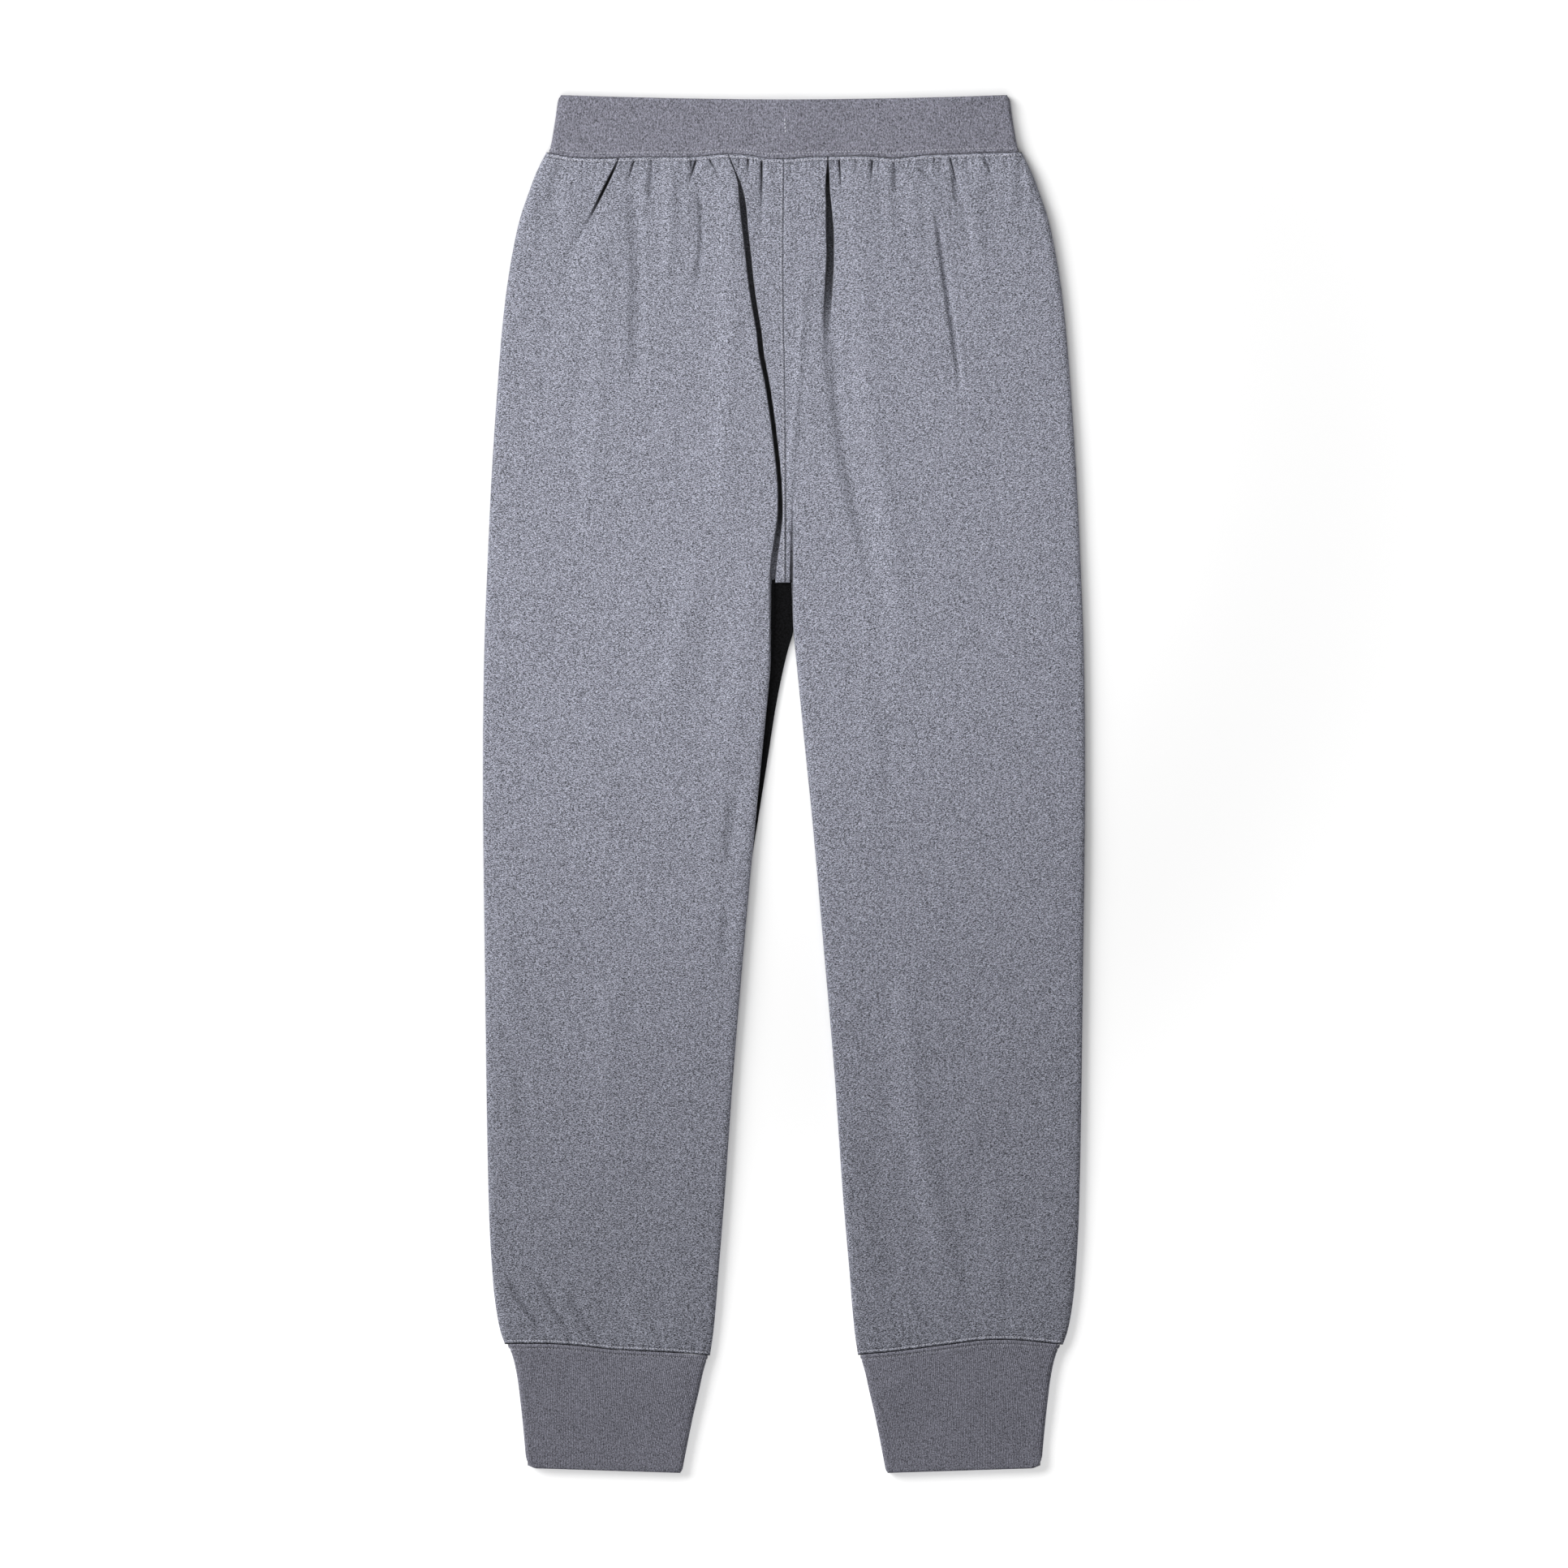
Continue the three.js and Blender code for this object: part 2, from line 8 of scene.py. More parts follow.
import bmesh
import bpy
import numpy as np
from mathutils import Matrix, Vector


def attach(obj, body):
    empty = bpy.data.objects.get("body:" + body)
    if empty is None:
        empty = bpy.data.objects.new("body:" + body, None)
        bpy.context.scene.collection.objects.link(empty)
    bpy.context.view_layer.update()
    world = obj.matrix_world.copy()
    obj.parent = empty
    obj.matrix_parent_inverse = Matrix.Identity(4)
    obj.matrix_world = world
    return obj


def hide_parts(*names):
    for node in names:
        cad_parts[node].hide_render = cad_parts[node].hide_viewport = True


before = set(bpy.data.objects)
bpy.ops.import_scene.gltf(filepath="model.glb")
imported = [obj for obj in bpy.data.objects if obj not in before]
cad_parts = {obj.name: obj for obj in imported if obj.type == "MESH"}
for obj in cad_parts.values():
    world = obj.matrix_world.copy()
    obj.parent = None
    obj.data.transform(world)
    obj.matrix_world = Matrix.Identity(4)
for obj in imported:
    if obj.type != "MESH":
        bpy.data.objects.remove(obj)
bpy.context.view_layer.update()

MM = 0.001

# Cloth and seams; the ribs are about 1.28 mm apart round a band
FLEECE = 2.1
WAIST_RIB = 3.4
CUFF_RIB = 2.9
SEAM_GAP = 0.3
FRONT_GAP = 0.04
BACK_GAP = 0.14
WAIST_RIBS = 545
CUFF_RIBS = 204
RIB_DEPTH = 0.36
STITCH_PITCH = 2.36

# Heights above the surface that the garment lies on
EDGE_LEVEL = 3.8
WAIST_HEIGHT = 8.8
CUFF_HEIGHT = 7.6
FOLD_FLOOR = 2.7
INNER_FLOOR = 2.3

# Curled side edges: their reach, the steps round one, and how full they are, where 1 is round
LEG_CURL = 5.5
RIB_CURL = 4.6
CURL_TURNS = 8
EDGE_FULLNESS = 0.6

# Gain of the soft folds, gain of the gathers, and the painted light or painted shade that a millimetre of soft fold
# gives
SOFT_GAIN = 1.7
GATHER_GAIN = 1.35
FOLD_PAINTED_LIGHT = 0.05

# Ends of the garment and its crotch
WAIST_TOP = 526.4
WAIST_TOP_DIP = 3.4
WAIST_CORNER = 3.8
WAIST_HALF_TOP = 172.7
WAIST_HALF_SEAM = 179.6
HEM_INNER = -526.4
HEM_OUTER = -522.6
HEM_OUTER_CORNER = 8.7
HEM_INNER_CORNER = 2.2
CROTCH_X, CROTCH_Y, CROTCH_HALF = -0.9, 153.8, 6.5
WAIST_LEVEL = 480
CUFF_LEVEL = -431
WAISTBAND_LENGTH = 45.0
CUFF_LENGTH = 93.0

# Side seam, the same on both sides: y, distance from the middle line
SIDE_SEAM = [
    (484, 180.8), (466, 189.7), (450, 195.6), (435, 200.8), (419, 204.8),
    (388, 210.4), (357, 214.4), (295, 219.5), (233, 223.5), (171, 226.4),
    (103, 229.0), (4, 230.0), (-145, 228.4), (-294, 226.2), (-344, 224.7),
    (-368, 223.2), (-393, 221.0), (-418, 216.6), (-429, 212.8),
]

# Inside-leg seams: y, left leg, right leg
INSIDE_SEAM = [
    (153.8, -7.4, 5.6), (117, -7.9, 7.3), (78, -11.2, 11.0), (28, -16.2, 16.0),
    (-21, -21.0, 21.0), (-120, -30.2, 29.8), (-220, -38.6, 38.4), (-318, -45.6, 45.3),
    (-368, -49.6, 49.6), (-418, -53.9, 53.9), (-437, -56.6, 56.6),
]

CENTRE_BACK = [(484, 0), (392, -0.6), (252, 1.3), (150, 1.2)]
WAIST_SEAM = [
    (-182, 482.6), (-163, 479.2), (-142, 478.0), (-109, 479.1), (-71, 479.2), (-42, 481.4), (-28, 480.6),
    (-12, 478.0), (24, 479.2), (64, 479.7), (84, 478.2), (106, 480.4), (138, 481.7), (182, 482.8),
]
CUFF_SEAM = [
    (57, -436.7, -436.0), (86, -434.4, -433.4), (111, -433.1, -430.2),
    (132, -432.0, -427.4), (152, -429.7, -425.0), (177, -427.8, -424.8), (213, -427.6, -428.4),
]
CUFF_SIDES = [
    (0, 58.2, 211.0), (0.06, 59.7, 208.6), (0.15, 61.9, 206.2), (0.3, 64.8, 203.7),
    (0.5, 68.9, 201.5), (0.7, 72.5, 199.6), (1, 77.6, 197.3),
]

# Front of the crotch, which hangs lower than the back and fills the gap between the legs, where its inside carries a
# near-black painted shadow: y, inner edge of the left and of the right front
FRONT_CROTCH_Y = 118
FRONT_INSIDE = [
    (484, 0, 0), (300, 0, 0), (200, 1.0, 1.0), (150, 3.8, 3.8), (118, 7.2, 7.3), (103, 3.2, 8.7),
    (91, 0.2, 9.8), (66, -5, 12.2), (16, -13, 17.2), (-27, -19.8, 21.6), (-45, -22.7, 23.2), (-60, -24.8, 24.6),
] + INSIDE_SEAM[5:]

# Top of the back cloth between folds: y, height
BACK_HEIGHT = [
    (484, 8.4), (474, 9.3), (462, 10.0), (440, 9.7), (400, 9.0), (300, 8.5),
    (154, 8.0), (0, 7.6), (-330, 7.6), (-410, 8.0), (-438, 7.4),
]

# Deep folds of the back: y, x, half width of the floor, half width at the crest, depth, painted shade in the fold
LEFT_FOLD = [
    (484, -43.4, 0.1, 0.7, 0.3, 0.1), (476, -40.5, 0.15, 0.8, 2.0, 0.6), (465, -36.1, 0.2, 0.9, 3.4, 0.75),
    (459, -34.1, 0.6, 1.5, 4.8, 0.75), (454, -33.1, 1.1, 2.0, 6.0, 0.8), (444, -31.6, 1.8, 2.7, 7.0, 0.85),
    (424, -29.6, 1.7, 2.5, 7.0, 0.85), (404, -27.3, 1.7, 2.5, 7.0, 0.89), (385, -25.3, 1.6, 2.4, 7.0, 0.91),
    (365, -22.4, 1.5, 2.3, 6.8, 0.94), (345, -19.0, 1.5, 2.3, 6.8, 0.96), (330, -17.4, 1.5, 2.3, 6.6, 0.98),
    (304, -12.4, 1.3, 2.1, 6.4, 1.0), (252, -5.4, 1.2, 2.0, 6.2, 1.0), (227, -3.2, 1.1, 2.0, 6.0, 1.0),
    (202, -3.2, 1.3, 2.3, 5.8, 0.95), (187, -5.2, 1.4, 2.6, 5.6, 0.75), (165, -8.1, 1.4, 2.8, 5.2, 0.6),
    (150, -8.8, 1.0, 2.4, 4.6, 0.6),
]
LEFT_DIAGONAL = [
    (484, -124.0, 0.2, 1.2, 0.2, 0), (472, -128.9, 0.3, 1.5, 3.6, 0.8), (466, -131.8, 0.45, 1.7, 4.6, 1.0),
    (450, -139.7, 0.5, 1.8, 4.6, 1.0), (438, -145.7, 0.35, 1.6, 2.6, 0.6), (430, -149.8, 0.25, 1.8, 1.0, 0.1),
    (415, -156.5, 0.3, 2.4, 0.3, 0), (380, -165.0, 0.3, 3.0, 0, 0), (150, -168.0, 0.3, 3.0, 0, 0),
]
RIGHT_FOLD = [
    (484, 33.6, 0.1, 0.7, 0.3, 0.1), (475, 33.6, 0.25, 0.9, 3.4, 0.7), (464, 33.4, 0.9, 1.6, 6.4, 1.0),
    (454, 33.4, 1.2, 2.0, 7.0, 0.9), (444, 34.1, 1.5, 2.3, 7.0, 0.88), (434, 34.6, 2.0, 2.8, 7.0, 0.86),
    (424, 35.0, 2.4, 3.2, 7.0, 0.85), (404, 35.4, 2.3, 3.1, 7.0, 0.84), (395, 35.1, 2.4, 3.3, 6.4, 0.83),
    (385, 34.5, 2.2, 3.4, 5.4, 0.78), (375, 34.1, 2.0, 3.5, 4.2, 0.69), (365, 33.4, 1.7, 3.6, 2.8, 0.56),
    (355, 32.9, 1.2, 3.6, 1.6, 0.4), (345, 32.9, 0.8, 3.4, 0.9, 0.18), (335, 33.0, 0.4, 3.4, 0.6, 0),
    (250, 24.0, 0.4, 3.6, 0, 0), (222, 9.0, 0.3, 1.8, 0.2, 0), (202, 7.0, 0.3, 1.5, 1.2, 0.15),
    (180, 6.2, 0.4, 1.6, 2.6, 0.5), (165, 5.9, 0.5, 1.7, 3.2, 0.75), (150, 5.7, 0.4, 1.7, 3.2, 0.8),
]
LEG_FOLDS = {-1: [LEFT_FOLD, LEFT_DIAGONAL], 1: [RIGHT_FOLD]}

# Small gathers under the waist seam: x, length, lean, depth
GATHERS = [
    (-164.2, 6.8, 0, 1), (-160.8, 8.1, 0, 0.8), (-158.1, 6.2, 0, 1), (-153.4, 9.9, -0.1, 1.2),
    (-149.4, 6.8, 0, 0.9), (-142.7, 8.7, -0.1, 1.1), (-136.6, 7.4, -0.1, 1.2), (-132.7, 5.6, 0, 0.9),
    (-123.9, 7.4, 0, 1.1), (-118.5, 6.2, -0.1, 0.9), (-113.8, 13.6, -0.3, 2.2), (-110.4, 6.8, 0, 1),
    (-105.7, 8.1, 0, 1.2), (-101.1, 9.9, 0, 1.3), (-95.6, 8.7, 0.1, 1.1), (-90.2, 6.8, 0, 1),
    (-84.3, 6.2, 0, 0.9), (-78.1, 7.4, 0, 1.1), (-71.4, 8.7, 0.1, 2.4), (-66.5, 14.9, -0.3, 3.4),
    (-58.7, 11.2, 0.55, 2), (-53.3, 7.4, 0, 1.1), (-48.5, 7.4, 0, 1.2), (-34.7, 7.4, 0.1, 1.2),
    (-27.7, 9.9, 0.05, 2.2), (-22.9, 6.2, 0, 1), (-17.1, 28.5, 0, 3.2), (-11.2, 7.4, 0, 1),
    (-5.6, 6.2, 0, 0.8), (5.6, 6.2, 0, 0.8), (11.8, 7.4, 0, 1), (17.4, 6.2, 0, 0.9),
    (22.9, 8.1, 0, 1), (27.9, 7.4, 0, 1), (37, 5.6, 0.3, 1.8), (41.9, 18.6, 0.08, 2.5),
    (46.4, 8.7, 0.1, 1.1), (50.8, 6.8, 0, 1), (55.1, 8.1, 0, 1.2), (61.2, 7.4, 0, 1.1),
    (67.5, 12.4, -0.05, 2.6), (72.5, 8.1, 0, 1.2), (77.5, 6.2, 0, 1), (83.6, 14.5, 0.12, 1.2),
    (88.7, 8.1, 0, 1), (92.4, 6.2, 0, 0.9), (96.7, 7.4, 0, 1.1), (104.8, 9.9, 0.5, 0.8),
    (110.4, 6.8, 0, 1), (114.9, 6.8, 0, 1.9), (119.7, 7.4, 0, 1), (126.4, 24.8, 0.24, 1.7),
    (132.7, 7.4, 0, 1), (139.8, 8.7, 0, 1.1), (145.1, 7.4, 0, 1), (151.8, 14.5, 0.4, 1.2),
    (157.5, 6.8, 0, 0.9), (163.7, 6.2, 0.1, 0.8),
]

# Soft valleys and ridges of the back: points as y and x, half width, height
SOFT_FOLDS = [
    ([(424.1, -155), (408.6, -161.8), (393.1, -168.6)], 5.6, -0.5),
    ([(454.5, -115), (420, -113), (388, -112), (340, -113), (300, -115)], 8, -1.1),
    ([(472.4, -101.7), (445.2, -101.7)], 3.7, -0.8),
    ([(455, -64.5), (426.6, -62.1), (402.4, -63.6), (375, -67.5)], 4.2, -1.1),
    ([(445, -129), (415, -143), (382, -155.6), (314, -168), (270, -178)], 15, 0.6),
    ([(425, -140), (380, -142), (332, -143), (227, -149), (180, -152)], 13, 0.65),
    ([(470, -86), (450.1, -85.5), (419.1, -87), (375.7, -90)], 9, 0.7),
    ([(472, -45.3), (440, -43), (400, -42), (363, -42), (300, -45), (252, -48), (190, -50)], 15, 0.8),
    ([(400, 16), (375, 14.9), (326, 11.8), (274, 7.6), (226.9, 5), (189.7, 4.3)], 4.6, 0.6),
    ([(392, 35), (357.1, 36), (334.8, 37), (289, 41), (239, 49), (202.1, 57), (164.9, 65)], 9, -1.3),
    ([(450.1, 50), (412.9, 55), (338.5, 60), (270, 66), (220, 76), (127.7, 86), (53.3, 90)], 17, 0.8),
    ([(473.1, 84.9), (451.4, 84.9)], 3.7, -0.7),
    ([(438, 116.2), (410, 120), (372, 125.4), (332.3, 131.2), (305, 134)], 3.9, -1.5),
    ([(473.1, 103.5), (461.3, 112.8), (451.4, 121.5)], 5, -0.7),
    ([(466.9, 129.6), (442.1, 132.7)], 3.7, -0.9),
    ([(465.6, 140.1), (437.7, 145.1), (394.3, 149.4)], 8, 0.5),
    ([(178, -66), (153, -72), (127, -78), (72, -88), (40, -92)], 14, 0.65),
    ([(150, -55), (127, -58), (84, -62), (60, -64)], 9, -0.5),
    ([(175, -24), (140, -27), (103, -32), (41, -42), (0, -48)], 14, 0.5),
    ([(-5, -37), (-33, -40), (-65, -43)], 8, -1.0),
    ([(-95, -43), (-120, -45), (-145, -47)], 7, -0.7),
    ([(-90, -213), (-130, -212), (-190, -208)], 12, 0.6),
    ([(-200.9, -202.1), (-256.7, -199.6), (-312.5, -195.9)], 9, -0.5),
    ([(-114.1, -127.7), (-207.1, -137), (-300.1, -143.2)], 20, 0.4),
    ([(-377.6, -209.6), (-399.3, -197.2), (-421, -179.8)], 5.6, -1.1),
    ([(-372, -190), (-398, -176), (-424, -160)], 5.6, -0.9),
    ([(-386.9, -164.9), (-408.6, -152.5), (-427.2, -138.9)], 6.2, -0.8),
    ([(-395, -120), (-412, -110), (-428, -98)], 9, 0.6),
    ([(-130, 94), (-207.1, 94), (-244, 97), (-331, 114), (-412, 133)], 16, 0.8),
    ([(-256.7, 62), (-318.7, 72), (-399.3, 86)], 17.4, -0.5),
    ([(160, 60), (110, 61), (30, 63), (-60, 64)], 11, 0.3),
    ([(60, 80), (22, 80), (-20, 82)], 8, -0.4),
    ([(-293.9, 162.4), (-355.9, 158.7), (-411.7, 156.2)], 13.6, 0.4),
    ([(-386.9, 95.5), (-408.6, 107.9), (-427.2, 121.5)], 6.2, -0.45),
    ([(476, -168), (456, -176), (436, -182)], 9, -0.7),
]

# Fall of the back towards its edges: y, depth on the left leg's outer and inner edge, then on the right's
FALL_REACH = 30
EDGE_FALL = [
    (484, 0.2, 0, 0, 0.2), (420, 0.3, 0, 0, 0.2), (330, 0.3, 0, 0, 0.3), (150, 0.3, 0, 0.2, 0.4),
    (30, 0.3, 0, 0.3, 0.6), (-20, 0.3, 0.2, 0.3, 0.7), (-120, 0.4, 0.2, 0.3, 0.7), (-330, 0.4, 0.5, 0.3, 0.8),
    (-415, 0.4, 1.1, 0.4, 1.1), (-438, 0.2, 0.8, 0.3, 0.8),
]

# Between the two long folds the crotch seam lies lower: y, how much lower
CROTCH_SINK = [(260, 0), (215, 0.6), (180, 1.8), (154, 2.2)]

# Painted shade from which a fold or seam keeps its own painted shade and takes none of the soft folds' painted light
# and shade
PAINTED_SHADE_FROM = 0.25

# Soft rises and dips of the ribbed bands: x, y, reach across, reach along, height
BAND_PUFFS = [
    (3, 503, 19, 34, 1.8), (62, 505, 22, 30, -0.8), (167, 514, 20, 20, -1.6),
    (-136, 496, 30, 16, 0.9), (110, 498, 34, 18, 0.5), (-90, 510, 40, 12, -0.4),
    (-80, -462, 14, 22, 0.7), (-118, -500, 20, 18, -0.9), (-165, -455, 26, 16, -0.7), (-116, -436, 22, 7, -0.7),
    (84, -458, 14, 16, 0.7), (100, -495, 20, 20, -1.0), (150, -470, 26, 26, 0.4), (190, -500, 18, 20, -0.6),
]

# Relief beside a seam, of its groove, its lip and its row of stitches: distance, half width, height
FLEECE_SEAM = [(0, 0.5, -0.35), (1.5, 0.8, 0.45), (2.7, 0.6, -0.4)]
RIB_SEAM = [(0, 0.5, -0.35), (1.8, 1.2, 0.4), (3.5, 0.6, -0.4), (4.8, 0.8, 0.15)]

# Creases that the waist seam pulls into the front: distance from the middle, lower end, lean, depth
FRONT_CREASES = [(58, 396, 0.16, 1.4), (121, 424, 0.3, 1.0), (24, 418, -0.1, 1.1), (150, 440, 0.4, 0.9)]

# Rows of a panel above its crotch: top, bottom, step and columns outside, step and columns inside
BACK_BANDS = [
    (480, 446, 0.8, 350, 8, 36), (446, 432, 1.0, 262, 8, 36),
    (432, 330, 1.7, 190, 12, 36), (330, 161, 2.4, 150, 12, 36),
]
FRONT_BANDS = [(480, 455, 1.2, 210, 12, 12), (455, 330, 3.2, 90, 30, 12), (330, 150, 5.5, 60, 30, 12)]

# Rows of its leg, outside and inside: columns, rows beside the crotch, step, then step and columns at the cuff
LEG_GRIDS = {"back": (96, 30, 2.5, 0.95, 190), "front": (46, 12, 6.5, 1.6, 110), "inside": (12, 4, 44, 12, 12)}
EVEN_FROM = 84
CUFF_ROWS_FROM = -404


def smooth(table, at, column=1):
    """Smooth curve through the rows of a table, read at values of its first column."""
    rows = np.array(sorted(table, key=lambda row: row[0]), float)
    xs, ys = rows[:, 0], rows[:, column]
    slopes = np.diff(ys) / np.diff(xs)
    knots = np.concatenate([slopes[:1], (slopes[1:] + slopes[:-1]) / 2, slopes[-1:]])
    at = np.clip(np.asarray(at, float), xs[0], xs[-1])
    i = np.clip(np.searchsorted(xs, at, side="right") - 1, 0, len(xs) - 2)
    step = xs[i + 1] - xs[i]
    t = (at - xs[i]) / step
    curve = t * t * (3 - 2 * t)
    return (
        ys[i] * (1 - curve) + ys[i + 1] * curve
        + step * knots[i] * t * (1 - t) ** 2 - step * knots[i + 1] * t * t * (1 - t)
    )


def ease(value, low, high):
    """0 up to low, 1 from high on, and smooth between them."""
    t = np.clip((value - low) / (high - low), 0, 1)
    return t * t * (3 - 2 * t)


def bell(offset, reach):
    """Smooth hump, 1 in its middle and 0 from its reach outwards."""
    return (1 + np.cos(np.pi * np.minimum(np.abs(offset) / reach, 1))) / 2


def swell(offset, reach):
    """Swell of height 1 that dies away beyond its reach."""
    return np.exp(-((offset / reach) ** 2))


def of_leg(table, at, side):
    """Smooth curve of one leg through a table that has the left leg's values first, then the right's."""
    return smooth(table, at, 1 if side < 0 else 2)


def wander(x, y, scale, seed):
    """Slow uneven swing between about -1 and 1."""
    return (
        np.sin(x / scale + 1.3 * seed + 0.9 * np.sin(y / (1.7 * scale) + seed))
        * np.cos(y / (1.4 * scale) - 0.7 * seed + 0.8 * np.sin(x / (1.3 * scale) + 2.1 * seed))
    )


def front_seam(x):
    """y of the waist seam on the front."""
    return WAIST_SEAM[0][1] - 3 * (1 - (x / WAIST_SEAM[0][0]) ** 2)


def front_cuff(x):
    """y of a cuff seam on the front."""
    return np.interp(np.abs(x), [57, 213], [-436.3, -428])


def back_cuff(side):
    """y of a cuff seam on the back, as a function of x."""
    return lambda x: of_leg(CUFF_SEAM, np.abs(x), side)


def back_waist(x):
    """y of the waist seam on the back."""
    return smooth(WAIST_SEAM, x)


def nearest_edge(side, x, y, front):
    """Distance to the nearest free edge of a leg, and the way from it into the cloth."""
    from_side = smooth(SIDE_SEAM, y) - side * x
    if front:
        inner = side * (x - of_leg(FRONT_INSIDE, y, side))
        from_inside = inner + 40 * ease(y, FRONT_CROTCH_Y - 14, FRONT_CROTCH_Y)
        way_x, way_y = np.full_like(x, side), np.zeros_like(x)
    else:
        aside = np.maximum(side * (x - CROTCH_X) - CROTCH_HALF, 0)
        above = y - CROTCH_Y
        reach = np.hypot(aside, above)
        under = above < 0
        seam = side * (x - of_leg(INSIDE_SEAM, y, side))
        from_inside = np.where(under, seam, reach)
        safe = np.maximum(reach, 1e-6)
        way_x = np.where(under, side, np.where(reach > 0, side * aside / safe, 0))
        way_y = np.where(under, 0, np.where(reach > 0, above / safe, 1))
    outer = from_side < from_inside
    return (
        np.where(outer, from_side, from_inside),
        np.where(outer, -side, way_x),
        np.where(outer, 0, way_y),
    )


def deep_fold(fold, x, y, wider=0.0):
    """Depth and painted shade of a long fold."""
    offset = np.abs(x - smooth(fold, y, 1))
    low, high = smooth(fold, y, 2) + wider, smooth(fold, y, 3) + 1.6 * wider
    share = 1 - ease(offset, low, high)
    painted_shade = np.clip(smooth(fold, y, 5), 0, 1) * ease(share, 0.2, 0.7)
    return np.maximum(smooth(fold, y, 4), 0) * share, painted_shade


def soft_relief(x, y):
    """Height that the soft folds add."""
    total = np.zeros_like(x)
    for points, reach, height in SOFT_FOLDS:
        top, low = points[0][0], points[-1][0]
        length = top - low
        fade = ease(y, low - 0.12 * length, low + 0.3 * length)
        fade = fade * (1 - ease(y, top - 0.25 * length, top + 0.1 * length))
        total += height * fade * bell(x - smooth(points, y), reach)
    return SOFT_GAIN * total


def gather_relief(x, drop, gathers):
    """Depth and painted shade of the small gathers, drop millimetres under the waist seam."""
    depth, painted_shade = np.zeros_like(x), np.zeros_like(x)
    start = ease(drop, 1.2, 4.2)
    for place, length, lean, deep in gathers:
        offset = np.abs(x - place - lean * drop)
        fade = np.exp(-((drop / length) ** 2.2)) * start
        line = swell(offset, 0.4 + 0.12 * deep) * fade
        trough = swell(offset, 1.4 + 0.5 * deep) * swell(drop, 1.8 * length) * start
        depth = np.maximum(depth, GATHER_GAIN * deep * (0.75 * line + 0.3 * trough))
        painted_shade = np.maximum(painted_shade, np.clip((deep - 0.7) / 1.3, 0, 1) * line)
    return depth, painted_shade


def beside_seam(profile, distance):
    """Relief of the cloth at a distance from its seam."""
    return sum(height * swell(distance - place, reach) for place, reach, height in profile)


def crotch_sink(x, y):
    """How much lower the cloth lies between the two long folds, near the crotch."""
    left, right = smooth(LEFT_FOLD, y), smooth(RIGHT_FOLD, y)
    in_strip = ease(x, left - 1, left + 1) * (1 - ease(x, right - 1, right + 1)) * (y < CROTCH_SINK[0][0])
    return smooth(CROTCH_SINK, y) * ease(y, CROTCH_Y - LEG_CURL, CROTCH_Y) * in_strip


def edge_fall(side, x, y):
    """How much lower the back lies towards its outer and inner edges."""
    outer = smooth(SIDE_SEAM, y) - side * x
    inner = np.maximum(side * (x - of_leg(INSIDE_SEAM, y, side)), 0)
    total = 0
    for distance, column in zip((outer, inner), (1, 2) if side < 0 else (4, 3)):
        total = total + smooth(EDGE_FALL, y, column) * np.clip(1 - distance / FALL_REACH, 0, 1) ** 1.8
    return total


def drape(x, y):
    """Swing of the soft pleats that hang under the gathers and fade out over the seat."""
    lean = (480 - y) * 0.06 * np.sin(x / 47)
    across = np.sin((x - lean) / 3.7 + 2.1 * np.sin((x - lean) / 14.5) + 0.8 * np.sin(x / 5.9))
    return across * ease(y, 370, 462) * (0.65 + 0.35 * np.sin(x / 23 + y / 19))


def back_lining(side, x, y):
    """Height of the hidden inside of the back cloth, which clears every fold of the outside."""
    drop = back_waist(x) - y
    height = smooth(BACK_HEIGHT, y) - FLEECE - 0.9 - crotch_sink(x, y) - edge_fall(side, x, y)
    height -= 1.7 * swell(np.maximum(drop, 0), 34)
    for fold in LEG_FOLDS[side]:
        depth, _ = deep_fold(fold, x, y, 1.5)
        height = height - 1.3 * depth
    return np.maximum(height, INNER_FLOOR)


def uneven(side, x, y):
    """Slow rises and dips of laid cloth, with finer ones over the seat."""
    seat = ease(y, 380, 470)
    waves = 0.34 * wander(x, y, 30, 1 + side) + 0.13 * wander(x, y, 12, 5 + side)
    return waves + 0.12 * wander(x, y, 9, 3 + side) * seat + 0.5 * drape(x, y)


def puckers(x, drop, rise):
    """Small waves that the waist seam and the cuff seam pull into the back cloth."""
    waist = 0.6 * bell(drop - 9, 8) * (0.4 + 0.6 * np.cos(x / 2.6 + 1.5 * np.sin(x / 9)))
    cuff = 0.35 * np.exp(-np.maximum(rise, 0) / 7) * (1 + np.sin(x / 1.9 + 1.3 * np.sin(x / 5.1)))
    return waist - cuff


def seam_shade(x, y, drop, rise, centre):
    """Painted shade in the seams of the back and in the dimple of each stitch."""
    middle = 0.3 + 0.45 * (1 - ease(y, 190, 260))
    dimple = 0.5 + 0.5 * np.cos(2 * math.pi * x / STITCH_PITCH)
    return np.maximum.reduce([
        np.where(y > CROTCH_Y, middle * swell(centre, 0.5), 0),
        0.9 * swell(rise, 0.75),
        (0.5 + 0.25 * wander(x, y, 11, 2)) * swell(drop, 0.5),
        0.4 * dimple * swell(np.minimum(drop, rise) - 3.3, 0.6),
    ])


